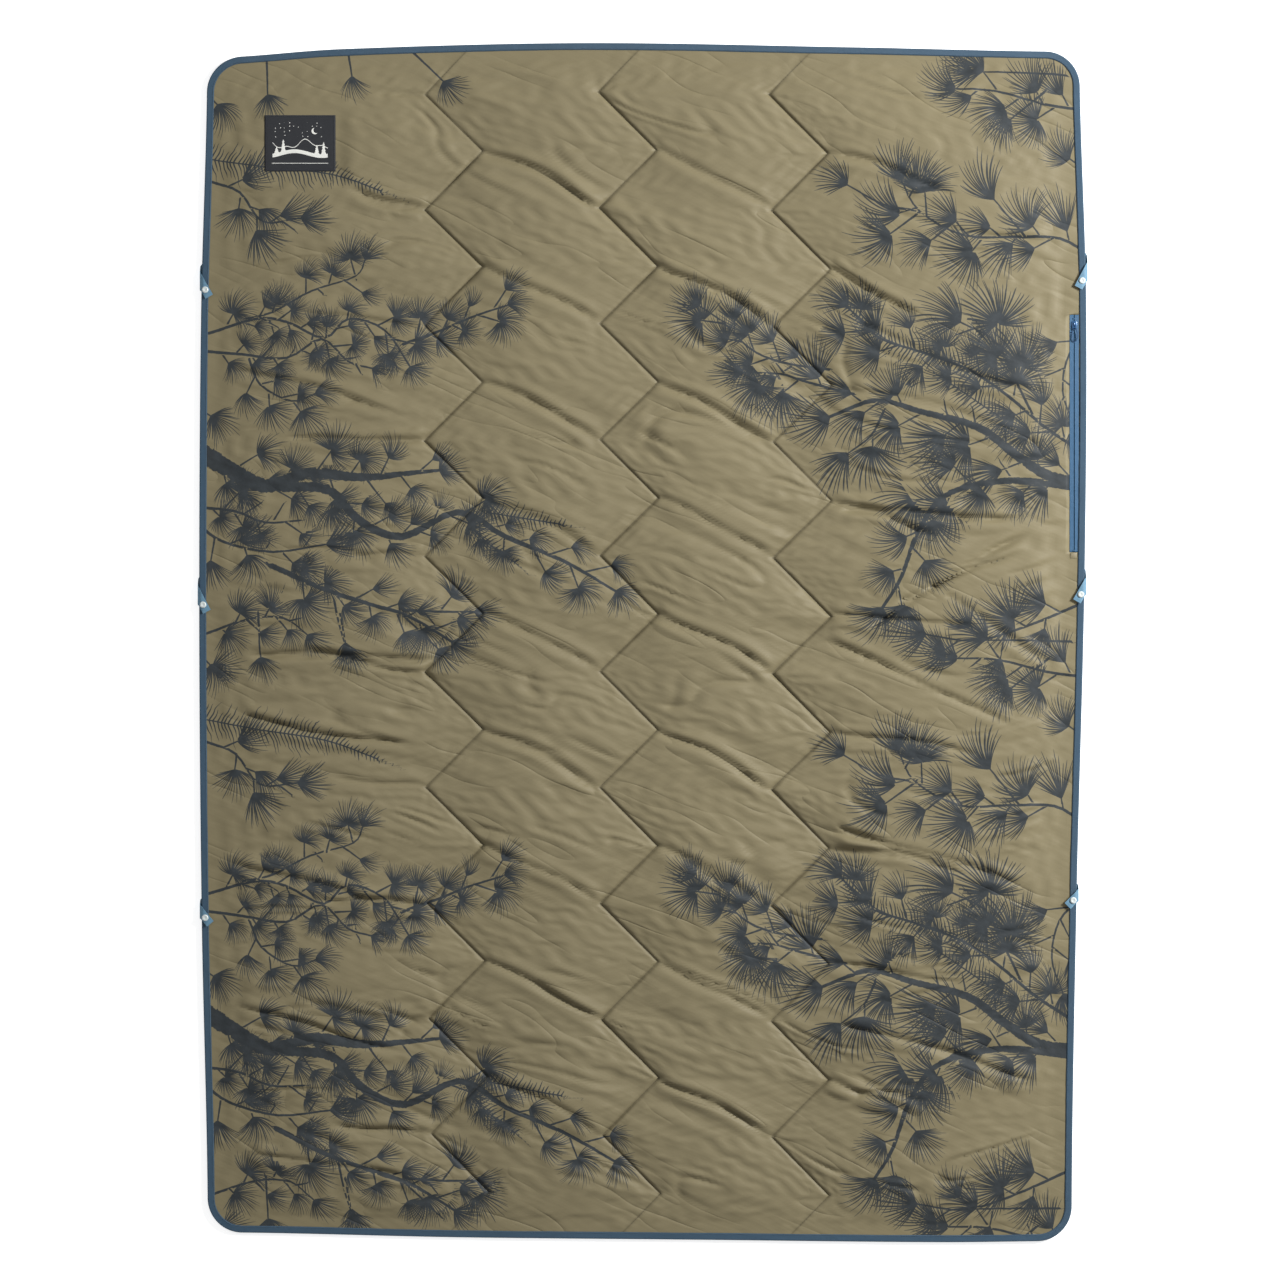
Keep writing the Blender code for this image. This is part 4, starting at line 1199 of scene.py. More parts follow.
def wadding_finish():
    finish = Finish("wadding_fibre", (0.70, 0.69, 0.66), 0.95)
    place = finish.place()
    fibres = finish.noise(place, 900.0, 4.0, 0.7)
    finish.feed("Base Color", finish.shade(finish.colour, 0.8 + 0.3 * fibres))
    finish.feed("Normal", finish.bump(fibres, 0.0008, 0.8))
    return finish.material


# ---- outline pieces: the binding and every row of stitches


def outline(count, inset=0.0):
    """Places along the blanket's bound edge, anticlockwise, and the way in from each."""
    size = 2 * (HALF_WIDTH + HALF_LENGTH)
    walk = np.linspace(0, 2 * size, count, endpoint=False)
    corners = np.cumsum([0, 2 * HALF_WIDTH, 2 * HALF_LENGTH, 2 * HALF_WIDTH, 2 * HALF_LENGTH])
    s = HALF_WIDTH * np.interp(walk, corners, [-1, 1, 1, -1, -1])
    t = HALF_LENGTH * np.interp(walk, corners, [-1, -1, 1, 1, -1])
    x, y = plan(s, t, 0.0)
    rim = np.stack([x, y], axis=-1)
    ahead = np.roll(rim, -1, axis=0) - np.roll(rim, 1, axis=0)
    ahead /= np.maximum(np.hypot(*ahead.T), 1e-9)[:, None]
    for _ in range(6):
        ahead = (np.roll(ahead, 1, axis=0) + 2 * ahead + np.roll(ahead, -1, axis=0)) / 4
    ahead /= np.hypot(*ahead.T)[:, None]
    inward = np.stack([-ahead[:, 1], ahead[:, 0]], axis=-1)
    passed = np.concatenate([[0], np.cumsum(np.hypot(*np.diff(rim, axis=0).T))])
    return rim + inward * inset, inward, passed


BINDING_LOW = 0.0012
BINDING_HIGH = 0.0089
TAPE = 0.0006
EDGE_POINTS = 1360


def binding_section(width, steps=5):
    """The folded tape's section as (inward, height): its outer skin, then its inner one back."""
    outer = []
    middle = (BINDING_LOW + BINDING_HIGH) / 2
    half = (BINDING_HIGH - BINDING_LOW) / 2
    for share in np.linspace(1, 0.25, 5):
        outer.append((width * share, BINDING_HIGH - 0.0001 * share))
    for step in range(steps * 2 + 1):
        angle = math.pi / 2 + math.pi * step / (2 * steps)
        outer.append((0.0022 + 0.0022 * math.cos(angle), middle + half * math.sin(angle)))
    for share in np.linspace(0.25, 1, 5):
        outer.append((width * share, BINDING_LOW + 0.0001 * share))
    inner = []
    for n, (x, z) in enumerate(outer):
        before = outer[max(n - 1, 0)]
        after = outer[min(n + 1, len(outer) - 1)]
        dx, dz = after[0] - before[0], after[1] - before[1]
        length = math.hypot(dx, dz)
        inner.append((x - dz / length * TAPE, z + dx / length * TAPE))
    return outer + [(x, z) for x, z in reversed(inner)]


def make_binding(sizes, colours):
    count = EDGE_POINTS
    rim, inward, passed = outline(count)
    section = np.array(binding_section(sizes.binding))
    section = np.concatenate([section, section[:1]])
    around = np.arange(count + 1) % count
    ripple = value_noise(passed / 0.013, passed * 0, 21) + 0.8 * value_noise(passed / 0.047, passed * 0, 22)
    share = np.clip(section[:, 0] / sizes.binding, 0, 1)
    upper = (section[:, 1] > 0.005) * 1.0
    lift = 0.00022 * ripple[around][:, None] * (share * upper)[None, :]
    reach = 1 + 0.02 * value_noise(passed / 0.05, passed * 0, 23)[around][:, None] * share[None, :]
    inset = section[None, :, 0] * reach
    places = np.empty((count + 1, len(section), 3))
    places[..., 0] = rim[around, None, 0] + inward[around, None, 0] * inset
    places[..., 1] = rim[around, None, 1] + inward[around, None, 1] * inset
    places[..., 2] = section[None, :, 1] + lift
    mesh, i, j = grid_mesh("edge_tape", places)
    length = np.append(passed, passed[-1] + passed[1])
    store_cloth(mesh, length[j], np.concatenate([[0], np.cumsum(np.hypot(*np.diff(section, axis=0).T))])[i])
    shape = bmesh.new()
    shape.from_mesh(mesh)
    bmesh.ops.remove_doubles(shape, verts=shape.verts, dist=1e-6)
    bmesh.ops.recalc_face_normals(shape, faces=shape.faces)
    shape.to_mesh(mesh)
    shape.free()
    made = linked("edge_tape", mesh)
    finish = tape_finish("binding_tape", colours.binding, 0.00075, 0.62)
    dress(made, finish, "binding_tape", nodes=["edge_binding"])


def tape_finish(name, colour, pitch, roughness, ribs_along=False):
    """Woven tape whose ribs lie across it, or along it."""
    finish = Finish(name, colour, roughness, Specular_IOR_Level=0.25)
    cloth = finish.attribute("cloth")
    length, width, _ = finish.parts(cloth)
    ribs = finish.wave(width if ribs_along else length, pitch)
    yarns = finish.wave(length if ribs_along else width, pitch * 1.7)
    broad = finish.noise(cloth, 14.0, 3.0)
    worn = finish.noise(cloth, 160.0, 3.0, 0.7)
    finish.feed("Base Color", finish.shade(finish.colour, 0.72 + 0.22 * broad + 0.22 * worn + 0.10 * ribs))
    finish.feed("Roughness", roughness - 0.10 + 0.2 * worn)
    finish.feed("Normal", finish.bump(ribs * 0.8 + yarns * 0.3 + worn * 0.6, 0.00018, 0.8))
    return finish.material


def copies(shape, count):
    """Repeats a shape that is under a metre wide, each copy a metre further along X."""
    made = 1
    while made < count:
        geometry = shape.verts[:] + shape.edges[:] + shape.faces[:]
        again = bmesh.ops.duplicate(shape, geom=geometry)["geom"]
        verts = [item for item in again if isinstance(item, bmesh.types.BMVert)]
        bmesh.ops.translate(shape, verts=verts, vec=(made, 0, 0))
        made *= 2
    beyond = [vertex for vertex in shape.verts if vertex.co.x > count - 0.5]
    bmesh.ops.delete(shape, geom=beyond, context="VERTS")


def beads(name, starts, ends, wide, high, segments=6, rings=4):
    """A rounded bar from each start to each end, all in one mesh."""
    shape = bmesh.new()
    bmesh.ops.create_uvsphere(
        shape, u_segments=segments, v_segments=rings, radius=0.4, matrix=Matrix.Rotation(math.pi / 2, 4, "Y")
    )
    copies(shape, len(starts))
    mesh = bpy.data.meshes.new(name)
    shape.to_mesh(mesh)
    shape.free()
    flat = np.empty(len(mesh.vertices) * 3, np.float32)
    mesh.vertices.foreach_get("co", flat)
    flat = flat.reshape(-1, 3)
    number = np.rint(flat[:, 0]).astype(int)
    local = (flat - np.stack([number, 0 * number, 0 * number], axis=-1)) / 0.4
    along = (ends - starts) / 2
    across = np.stack([-along[:, 1], along[:, 0]], axis=-1)
    across /= np.hypot(*across.T)[:, None]
    places = ((starts + ends) / 2)[number] + along[number] * local[:, :1]
    places[:, :2] += across[number] * local[:, 1:2] * wide
    places[:, 2] += local[:, 2] * high
    mesh.vertices.foreach_set("co", places.astype(np.float32).ravel())
    mesh.update()
    return linked(name, mesh)


def stitch_row(name, route, length, gap, radius, closed=False):
    """Separate stitches along a route of points, each a small rounded bar, in one mesh."""
    route = np.array(route, float)
    if closed:
        route = np.concatenate([route, route[:1]])
    steps = np.linalg.norm(np.diff(route, axis=0), axis=1)
    passed = np.concatenate([[0.0], np.cumsum(steps)])
    count = max(1, int(passed[-1] / (length + gap)))
    pitch = passed[-1] / count
    starts = np.arange(count) * pitch + gap / 2
    ends = starts + pitch - gap
    first = np.stack([np.interp(starts, passed, route[:, k]) for k in range(3)], axis=-1)
    last = np.stack([np.interp(ends, passed, route[:, k]) for k in range(3)], axis=-1)
    return beads(name, first, last, radius * 1.25, radius)


def thread_finish(name, colour):
    """Twisted thread."""
    finish = Finish(name, colour, 0.7)
    place = finish.place()
    x, y, z = finish.parts(place)
    twist = finish.wave(x + y + z, 0.0007)
    finish.feed("Base Color", finish.shade(finish.colour, 0.75 + 0.4 * twist))
    finish.feed("Normal", finish.bump(twist, 0.0001, 0.6))
    return finish.material


def heights_on_face(x, y):
    """The height of the finished face over each place."""
    face = bpy.data.objects["quilted_face"]
    graph = bpy.context.evaluated_depsgraph_get()
    down = Vector((0, 0, -1))
    return np.array([
        face.ray_cast(Vector((a, b, 0.1)), down, depsgraph=graph)[1].z for a, b in zip(x.ravel(), y.ravel())
    ]).reshape(x.shape)


def make_stitching(sizes, colours):
    rim, _, _ = outline(EDGE_POINTS, 0.0104)
    route = [(*place, BINDING_HIGH + 0.0001) for place in rim]
    made = stitch_row("binding_stitches", route, sizes.stitch, 0.0007, 0.00028, closed=True)
    colour = [0.8 * c for c in colours.binding]
    dress(made, thread_finish("binding_thread", colour), "binding_thread", nodes=["binding_stitch"])
    finish = thread_finish("quilting_thread", colours.thread)
    for number, middle in enumerate(SEAM_MIDDLES, 1):
        t = np.arange(HALF_LENGTH - LEDGE, -HALF_LENGTH + LEDGE, -0.0012)
        s = seam_at(middle, t)
        x, y = plan(s, t)
        route = np.stack([x, y, heights_on_face(x, y) + 0.00012], axis=-1)
        made = stitch_row(f"quilt_stitches_{number}", route, sizes.stitch, 0.0009, 0.00030)
        dress(made, finish, "quilting_thread", nodes=[f"quilting_thread_{number}"])


# ---- zip, slider and pull


def soften(shape, offset, segments=2):
    """Bevels every edge of a shape."""
    bmesh.ops.bevel(
        shape, geom=shape.edges[:], offset=offset, segments=segments, affect="EDGES", profile=0.5,
        material=-1,
    )


def grow_up(shape, faces, height):
    """Gives flat faces a height."""
    grown = bmesh.ops.extrude_face_region(shape, geom=faces)["geom"]
    lifted = [item for item in grown if isinstance(item, bmesh.types.BMVert)]
    bmesh.ops.translate(shape, verts=lifted, vec=(0, 0, height))


def box_piece(name, low, high, bevel, segments=2):
    low, high = Vector(low), Vector(high)
    shape = bmesh.new()
    size = Matrix.Diagonal((*(high - low), 1))
    bmesh.ops.create_cube(shape, size=1.0, matrix=Matrix.Translation((low + high) / 2) @ size)
    soften(shape, bevel, segments)
    return from_bmesh(name, shape)


COIL_PITCH = 0.0015


def make_zip(sizes, colours):
    finish = tape_finish("zip_tape", colours.zip_tape, 0.0011, 0.5, ribs_along=True)
    for name in ("inner", "outer"):
        low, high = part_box(f"zip_tape_{name}")
        rows = np.linspace(low.y, high.y, 195)
        columns = np.linspace(low.x, high.x, 9)
        x, y = np.meshgrid(columns, rows)
        side = 1 if name == "inner" else -1
        inner_edge = high.x if name == "inner" else low.x
        swell = np.exp(-np.abs(x - inner_edge) / 0.0018)
        z = high.z + 0.00022 * swell + 0.00010 * value_noise(y / 0.009, x / 0.01, 31)
        mesh, i, j = grid_mesh(f"zip_band_{name}", np.stack([x, y, z], axis=-1))
        store_cloth(mesh, y[j, i], x[j, i] * side)
        made = linked(f"zip_band_{name}", mesh)
        thicken(made, high.z - low.z)
        dress(made, finish, "zip_tape", nodes=[f"zip_tape_{name}"])
    nylon = nylon_finish("zip_nylon", colours.zip_coil)
    for name, side in (("inner", 1), ("outer", -1)):
        low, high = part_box(f"zip_coil_{name}")
        y = np.arange(low.y + COIL_PITCH * (0.5 + 0.25 * side), high.y - COIL_PITCH / 2, COIL_PITCH)
        z = np.full_like(y, (low.z + high.z) / 2)
        first = np.stack([0 * y + low.x - 0.0003 + side * 0.0004, y, z], axis=-1)
        last = np.stack([0 * y + high.x + 0.0003 + side * 0.0004, y, z], axis=-1)
        made = beads(f"zip_teeth_{name}", first, last, 0.00036, (high.z - low.z) / 2, 8, 6)
        dress(made, nylon, "zip_nylon", nodes=[f"zip_coil_{name}"])
    for name in ("top", "bottom"):
        low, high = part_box(f"zip_{name}_stop")
        made = box_piece(f"zip_{name}_end_stop", low, high, 0.00025, 3)
        dress(made, nylon, "zip_nylon", nodes=[f"zip_{name}_stop"])
    low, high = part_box("zip_end_tab")
    made = box_piece("zip_end_fold", low, high, 0.00025, 2)
    finish = plain_finish("zip_end_satin", colours.face, 0.5, Sheen_Weight=0.2)
    dress(made, finish, "face_fabric", nodes=["zip_end_tab"])


def nylon_finish(name, colour):
    finish = Finish(name, colour, 0.35, Coat_Weight=0.2)
    place = finish.place()
    haze = finish.noise(place, 400.0, 2.0)
    finish.feed("Base Color", finish.shade(finish.colour, 0.85 + 0.3 * haze))
    finish.feed("Roughness", 0.28 + 0.2 * haze)
    return finish.material


def enamel_finish(colours):
    finish = Finish("slider_enamel", colours.enamel, 0.3, Metallic=0.35, Coat_Weight=0.6, Coat_Roughness=0.15)
    place = finish.place()
    pits = finish.noise(place, 700.0, 3.0, 0.7)
    finish.feed("Base Color", finish.shade(finish.colour, 0.8 + 0.4 * pits))
    finish.feed("Roughness", 0.22 + 0.25 * pits)
    finish.feed("Normal", finish.bump(pits, 0.00005, 0.4))
    return finish.material


def slider_plate(shape, low, high):
    """One of the slider's plates: wide at its nose, waisted at its tail, with rounded edges."""
    half = 0.0045
    outline_points = [(-0.0030, 0.0055), (-half, 0.0040), (-half, -0.0010), (-0.0036, -0.0055)]
    outline_points += [(-a, b) for a, b in reversed(outline_points)]
    face = shape.faces.new([shape.verts.new((ZIP_X + a, SLIDER_Y + b, low)) for a, b in outline_points])
    grow_up(shape, [face], high - low)


BAIL_REACH = 0.00258
BAIL_RADIUS = 0.00055
BAIL_STEPS = 12


def make_slider(sizes, colours):
    enamel = enamel_finish(colours)
    low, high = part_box("zip_slider")
    plate = 0.0008
    top_low = 0.0083
    shape = bmesh.new()
    slider_plate(shape, low.z, low.z + plate)
    slider_plate(shape, top_low, top_low + plate)
    post = Matrix.Translation((ZIP_X, SLIDER_Y + 0.0035, (low.z + top_low + plate) / 2))
    post = post @ Matrix.Diagonal((0.0008, 0.0030, top_low - low.z, 1))
    bmesh.ops.create_cube(shape, size=1.0, matrix=post)
    bmesh.ops.recalc_face_normals(shape, faces=shape.faces)
    soften(shape, 0.00022)
    foot = top_low + plate / 2
    bail = []
    for step in range(BAIL_STEPS + 1):
        angle = math.pi * step / BAIL_STEPS
        height = foot + (high.z - foot - 0.0004) * min(1, 1.35 * math.sin(angle))
        bail.append((ZIP_X, SLIDER_Y + BAIL_REACH * math.cos(angle), height))
    tube_along(shape, bail, BAIL_RADIUS, 8)
    made = from_bmesh("slider_body", shape)
    dress(made, enamel, "slider_metal", "slider", ["zip_slider"])

    low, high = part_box("zip_pull_tab")
    shape = bmesh.new()
    half_x = (high.x - low.x) / 2
    rings = []
    count = 48
    for radius_x, radius_y, centre, squareness in (
        (half_x, (high.y - low.y) / 2, (low.y + high.y) / 2, 3.2),
        (half_x - 0.0011, 0.0012, low.y + 0.0022, 2.0),
        (0.0013, 0.0018, high.y - 0.0029, 3.0),
    ):
        rings.append([
            shape.verts.new((
                ZIP_X + radius_x * math.copysign(abs(math.cos(a)) ** (2 / squareness), math.cos(a)),
                centre + radius_y * math.copysign(abs(math.sin(a)) ** (2 / squareness), math.sin(a)),
                low.z,
            ))
            for a in (math.tau * n / count for n in range(count))
        ])
    edges = [shape.edges.new((ring[n], ring[(n + 1) % count])) for ring in rings for n in range(count)]
    bmesh.ops.triangle_fill(shape, edges=edges, use_beauty=True)
    grow_up(shape, shape.faces[:], high.z - low.z)
    bmesh.ops.recalc_face_normals(shape, faces=shape.faces)
    made = from_bmesh("pull_plate", shape)
    dress(made, enamel, "slider_metal", "pull", ["zip_pull_tab"])


def tube_along(shape, route, radius, sides):
    """Adds a round tube along a route of points to a mesh."""
    points = [Vector(p) for p in route]
    circles = []
    for n, point in enumerate(points):
        ahead = points[min(n + 1, len(points) - 1)] - points[max(n - 1, 0)]
        turn = ahead.to_track_quat("Z", "Y").to_matrix().to_4x4()
        made = bmesh.ops.create_circle(
            shape, segments=sides, radius=radius, cap_ends=n in (0, len(points) - 1),
            matrix=Matrix.Translation(point) @ turn,
        )
        circles.append(made["verts"])
    edges = [
        [edge for edge in {e for v in circle for e in v.link_edges} if all(v in circle for v in edge.verts)]
        for circle in (set(c) for c in circles)
    ]
    for first, second in zip(edges, edges[1:]):
        bmesh.ops.bridge_loops(shape, edges=first + second)
    bmesh.ops.recalc_face_normals(shape, faces=shape.faces)


def make_pull_cord(sizes, colours):
    offset = Vector((ZIP_X, SLIDER_Y, 0))
    route = [Vector(p) for p in rounded_route([Vector(p) + offset for p in CORD_ROUTE], 6)]
    shape = bmesh.new()
    tube_along(shape, route, CORD_DIAMETER / 2, 10)
    cord = from_bmesh("pull_cord", shape, None)
    finish = cord_finish(colours)
    dress(cord, finish, "pull_cord", "pull", ["zip_pull_cord"])
    shape = bmesh.new()
    middle = Vector(KNOT_PLACE) + offset
    for axis in ("X", "Y", "Z"):
        turn = Matrix.Rotation(math.radians(35), 4, axis)
        size = Matrix.Diagonal((KNOT_RADIUS, KNOT_RADIUS * 0.62, KNOT_RADIUS * 0.72, 1))
        bmesh.ops.create_uvsphere(
            shape, u_segments=16, v_segments=10, radius=1.0, matrix=Matrix.Translation(middle) @ turn @ size
        )
    knot = from_bmesh("cord_knot", shape, None)
    remesh = knot.modifiers.new("joined", "REMESH")
    remesh.mode = "VOXEL"
    remesh.voxel_size = 0.00018
    settled(knot)
    knot.data.shade_smooth()
    dress(knot, finish, "pull_cord", "pull", ["pull_cord_knot"])


def cord_finish(colours):
    """Braided cord."""
    finish = Finish("braided_cord", colours.cord, 0.75)
    place = finish.place()
    x, y, z = finish.parts(place)
    braid = finish.wave(x + y * 0.8, 0.0006) * finish.wave(x - y * 0.8 + z, 0.0006)
    finish.feed("Base Color", finish.shade(finish.colour, 0.6 + 0.8 * braid))
    finish.feed("Normal", finish.bump(braid, 0.0001, 0.7))
    return finish.material


# ---- patch


def label_finish(colours):
    """A damask label: a moon and stars over two lines of hills and a row of small firs."""
    finish = Finish("woven_label", colours.label, 0.7, Sheen_Weight=0.15)
    x, y, _ = finish.parts(finish.place())
    u = x - (PATCH_LOW.x + PATCH_HIGH.x) / 2
    v = y - (PATCH_LOW.y + PATCH_HIGH.y) / 2

    def inside(low, high, value):
        return (value > low) * (value < high)

    frame_line = inside(-0.046, 0.046, u) * inside(-0.0330, -0.0322, v)
    picture = inside(-0.045, 0.045, u) * inside(-0.0265, 0.034, v)
    hill = 0.006 * (u * 95.0 + 0.6).maths("SINE") + 0.003 * (u * 210.0).maths("SINE") - 0.002
    crest = abs(v - hill) < 0.0006
    near_hill = -0.014 + 0.004 * (u * 70.0 + 2.2).maths("SINE")
    ground = (v < near_hill) * (v > near_hill - 0.006)
    moon = ((u - 0.024) * (u - 0.024) + (v - 0.020) * (v - 0.020)).maths("SQRT") < 0.0052
    bite = ((u - 0.0265) * (u - 0.0265) + (v - 0.0215) * (v - 0.0215)).maths("SQRT") < 0.0048
    cell_u = (u / 0.0075).maths("FLOOR")
    cell_v = (v / 0.0075).maths("FLOOR")
    chance = finish.hash(cell_u * 3.1 + cell_v * 17.7)
    off_u = u / 0.0075 - cell_u - 0.25 - 0.5 * chance
    off_v = v / 0.0075 - cell_v - 0.25 - 0.5 * finish.hash(chance * 9.3)
    star = ((off_u * off_u + off_v * off_v).maths("SQRT") < 0.05 + 0.05 * chance) * (chance > 0.45)
    stars = star * (v > 0.010)
    tree_cell = (u / 0.011).maths("FLOOR")
    tall = 0.010 + 0.010 * finish.hash(tree_cell + 4.0)
    across = abs(u / 0.011 - tree_cell - 0.5) * 0.011
    up = (v - near_hill) / tall
    tiers = (up * 4.0).maths("FRACT")
    fir = (across < (1 - up) * 0.0030 + (1 - tiers) * 0.0011) * (up > 0.0) * (up < 1.0)
    fir = fir * (abs(u) > 0.021)
    art = (crest * (v > near_hill)).maths("MAXIMUM", ground)
    art = art.maths("MAXIMUM", moon * (1 - bite)).maths("MAXIMUM", stars).maths("MAXIMUM", fir)
    raised = (art * picture).maths("MAXIMUM", frame_line)
    weft = finish.wave(v, 0.00055)
    warp = finish.wave(u, 0.00070)
    yarn = 0.80 + 0.35 * weft * warp
    ground_colour = finish.shade(finish.colour, yarn)
    picture_colour = finish.shade((*colours.picture, 1.0), yarn)
    finish.feed("Base Color", finish.mix(raised, ground_colour, picture_colour))
    finish.feed("Normal", finish.bump(weft * 0.5 + warp * 0.3 + raised * 1.2, 0.00025, 0.6))
    return finish.material


def make_patch(sizes, colours):
    rows = np.linspace(PATCH_LOW.y, PATCH_HIGH.y, 47)
    columns = np.linspace(PATCH_LOW.x, PATCH_HIGH.x, 59)
    x, y = np.meshgrid(columns, rows)
    edge = np.minimum.reduce([x - PATCH_LOW.x, PATCH_HIGH.x - x, y - PATCH_LOW.y, PATCH_HIGH.y - y])
    z = PATCH_HIGH.z - 0.00025 * np.exp(-edge / 0.0012) + 0.0001 * value_noise(x / 0.02, y / 0.02, 51)
    z = z - 0.00022 * np.exp(-(((edge - 0.0025) / 0.0012) ** 2))
    mesh, _, _ = grid_mesh("label", np.stack([x, y, z], axis=-1))
    made = linked("label", mesh)
    thicken(made, PATCH_HIGH.z - PATCH_LOW.z - 0.0002)
    dress(made, label_finish(colours), "woven_patch", nodes=["woven_patch"])
    low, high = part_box("patch_stitch")
    inset = 0.00025
    corners = [(low.x, low.y), (high.x, low.y), (high.x, high.y), (low.x, high.y), (low.x, low.y)]
    route = []
    for (x0, y0), (x1, y1) in zip(corners, corners[1:]):
        for f in np.linspace(0, 1, 20, endpoint=False):
            route.append((x0 + (x1 - x0) * f, y0 + (y1 - y0) * f, (low.z + high.z) / 2 - inset))
    made = stitch_row("label_stitches", route, 0.0026, 0.0006, 0.00024, closed=True)
    dress(made, thread_finish("label_thread", tint("2C3038")), "patch_thread", nodes=["patch_stitch"])


# ---- snap tabs


def edge_x(side, y):
    """The furthest out that this side's edge reaches beside a tab whose snap is at y."""
    reach = [float(plan(side * HALF_WIDTH, y + step, 0.0)[0]) for step in TAB_STRETCH]
    return side * max(side * x for x in reach)


def spun(name, profile, place, segments=32):
    """A turned part about an upright axis, from (radius, height) pairs down its outer side."""
    shape = bmesh.new()
    verts = [shape.verts.new((radius, 0, z)) for radius, z in profile]
    edges = [shape.edges.new(pair) for pair in zip(verts, verts[1:])]
    if profile[0][0] > 0:
        edges.append(shape.edges.new((verts[-1], verts[0])))
    bmesh.ops.spin(
        shape, geom=verts + edges, cent=(0, 0, 0), axis=(0, 0, 1), angle=math.tau, steps=segments,
        use_merge=True, use_duplicate=False,
    )
    bmesh.ops.remove_doubles(shape, verts=shape.verts, dist=1e-6)
    bmesh.ops.recalc_face_normals(shape, faces=shape.faces)
    bmesh.ops.translate(shape, verts=shape.verts, vec=(*place, 0))
    return from_bmesh(name, shape, 50.0)


def arc_points(centre, radius, start, end, steps):
    return [
        (centre[0] + radius * math.cos(math.radians(start + (end - start) * n / steps)),
         centre[1] + radius * math.sin(math.radians(start + (end - start) * n / steps)))
        for n in range(steps + 1)
    ]


# Each piece of a snap: its name, the node it stands for, its slot and its profile.
SNAP_PIECES = (
    ("cap", "cap", "snap_resin", (
        (0.0, 0.0148), (0.0012, 0.0148), (0.0018, 0.0151), (0.0026, 0.0152),
        *arc_points((0.0034, 0.0134), 0.0020, 90, 0, 6),
        (0.0052, 0.0133), (0.0010, 0.0133), (0.0010, 0.0114), (0.0, 0.0114),
    )),
    ("socket", "socket", "snap_metal", (
        (0.0023, 0.0119), *arc_points((0.0037, 0.0114), 0.0005, 90, -90, 6),
        (0.0037, 0.0101), (0.0025, 0.0101), (0.0023, 0.0103),
    )),
    ("stud", "stud", "snap_metal", (
        (0.0, 0.0111), *arc_points((0.0012, 0.0103), 0.0008, 90, -40, 5), (0.0016, 0.0097),
        (0.0029, 0.0097), (0.0030, 0.0096), (0.0030, 0.0092), (0.0010, 0.0092), (0.0010, 0.0011),
        (0.0, 0.0011),
    )),
    ("back", "stud_back", "snap_metal", (
        (0.0, 0.0008), (0.0022, 0.0008), *arc_points((0.0026, 0.0004), 0.0004, 90, 0, 3),
        (0.0030, 0.0001), (0.0, 0.0001),
    )),
)


def webbing_places(snap_y, tilt):
    """The middle of a tab's webbing, row by row, from its sewn root under the blanket, round the edge
    and over to its hemmed free end."""
    half = WEBBING_WIDTH / 2
    under, outside = WEBBING_LOW - WEBBING / 2, -ROOT_OUT - WEBBING / 2 - 0.0008
    climb = ROOT_HIGH - WEBBING_LOW
    bend = 0.0006
    # Distance in from the edge, height, and how far in the same place would be if laid out flat.
    stops = [
        (ROOT_REACH, under, -climb - ROOT_REACH - 2 * ROOT_OUT),
        (0.0040, under, -climb - 0.0040 - 2 * ROOT_OUT),
        (outside + 2 * bend, under, -climb - ROOT_OUT - bend),
        (outside, under + 2 * bend, -climb - ROOT_OUT + bend),
        (outside, 0.0050, -ROOT_OUT - ROOT_HIGH + 0.0050),
        (outside, ROOT_HIGH, -ROOT_OUT),
        (STRAP_START, STRAP_FOLD_Z + WEBBING / 2, STRAP_START),
        (STRAP_BEND - 0.0012, STRAP_Z + WEBBING / 2 - bend, STRAP_BEND - 0.0012),
        (STRAP_BEND + 0.0010, STRAP_Z + WEBBING / 2, STRAP_BEND + 0.0010),
    ]
    columns = []
    for border in np.linspace(-1, 1, 9):
        start = SNAP_INSET + border * half * math.cos(tilt)
        level = snap_y + border * half * math.sin(tilt)
        line = [(i, level - (flat - start) / math.tan(tilt), z) for i, z, flat in stops]
        inward = start + STRAP_END * math.sin(tilt)
        finish = np.array([inward, level - STRAP_END * math.cos(tilt), STRAP_Z + WEBBING / 2])
        line = rounded_route([p for p in line if p[0] < start or p[2] < STRAP_FOLD_Z] or line, 3)
        last = np.array(line[-1])
        shares = np.linspace(0, 1, 12)[1:]
        columns.append([*line, *(last + (finish - last) * f for f in shares)])
    return columns


def webbing_rows(edge, side, snap_y, tilt):
    """The webbing's grid of places, with the same number of rows down every column."""
    columns = webbing_places(snap_y, tilt)
    rows = 44
    even = []
    for column in columns:
        column = np.array(column)
        steps = np.linalg.norm(np.diff(column, axis=0), axis=1)
        passed = np.concatenate([[0.0], np.cumsum(steps)])
        at = np.linspace(0, passed[-1], rows)
        even.append(np.stack([np.interp(at, passed, column[:, k]) for k in range(3)], axis=-1))
    places = np.stack(even, axis=1)
    hem = smoothstep(np.arange(rows) - (rows - 6.0))
    places[..., 2] += 0.00035 * hem[:, None]
    places[..., 0] = edge - side * places[..., 0]
    return places


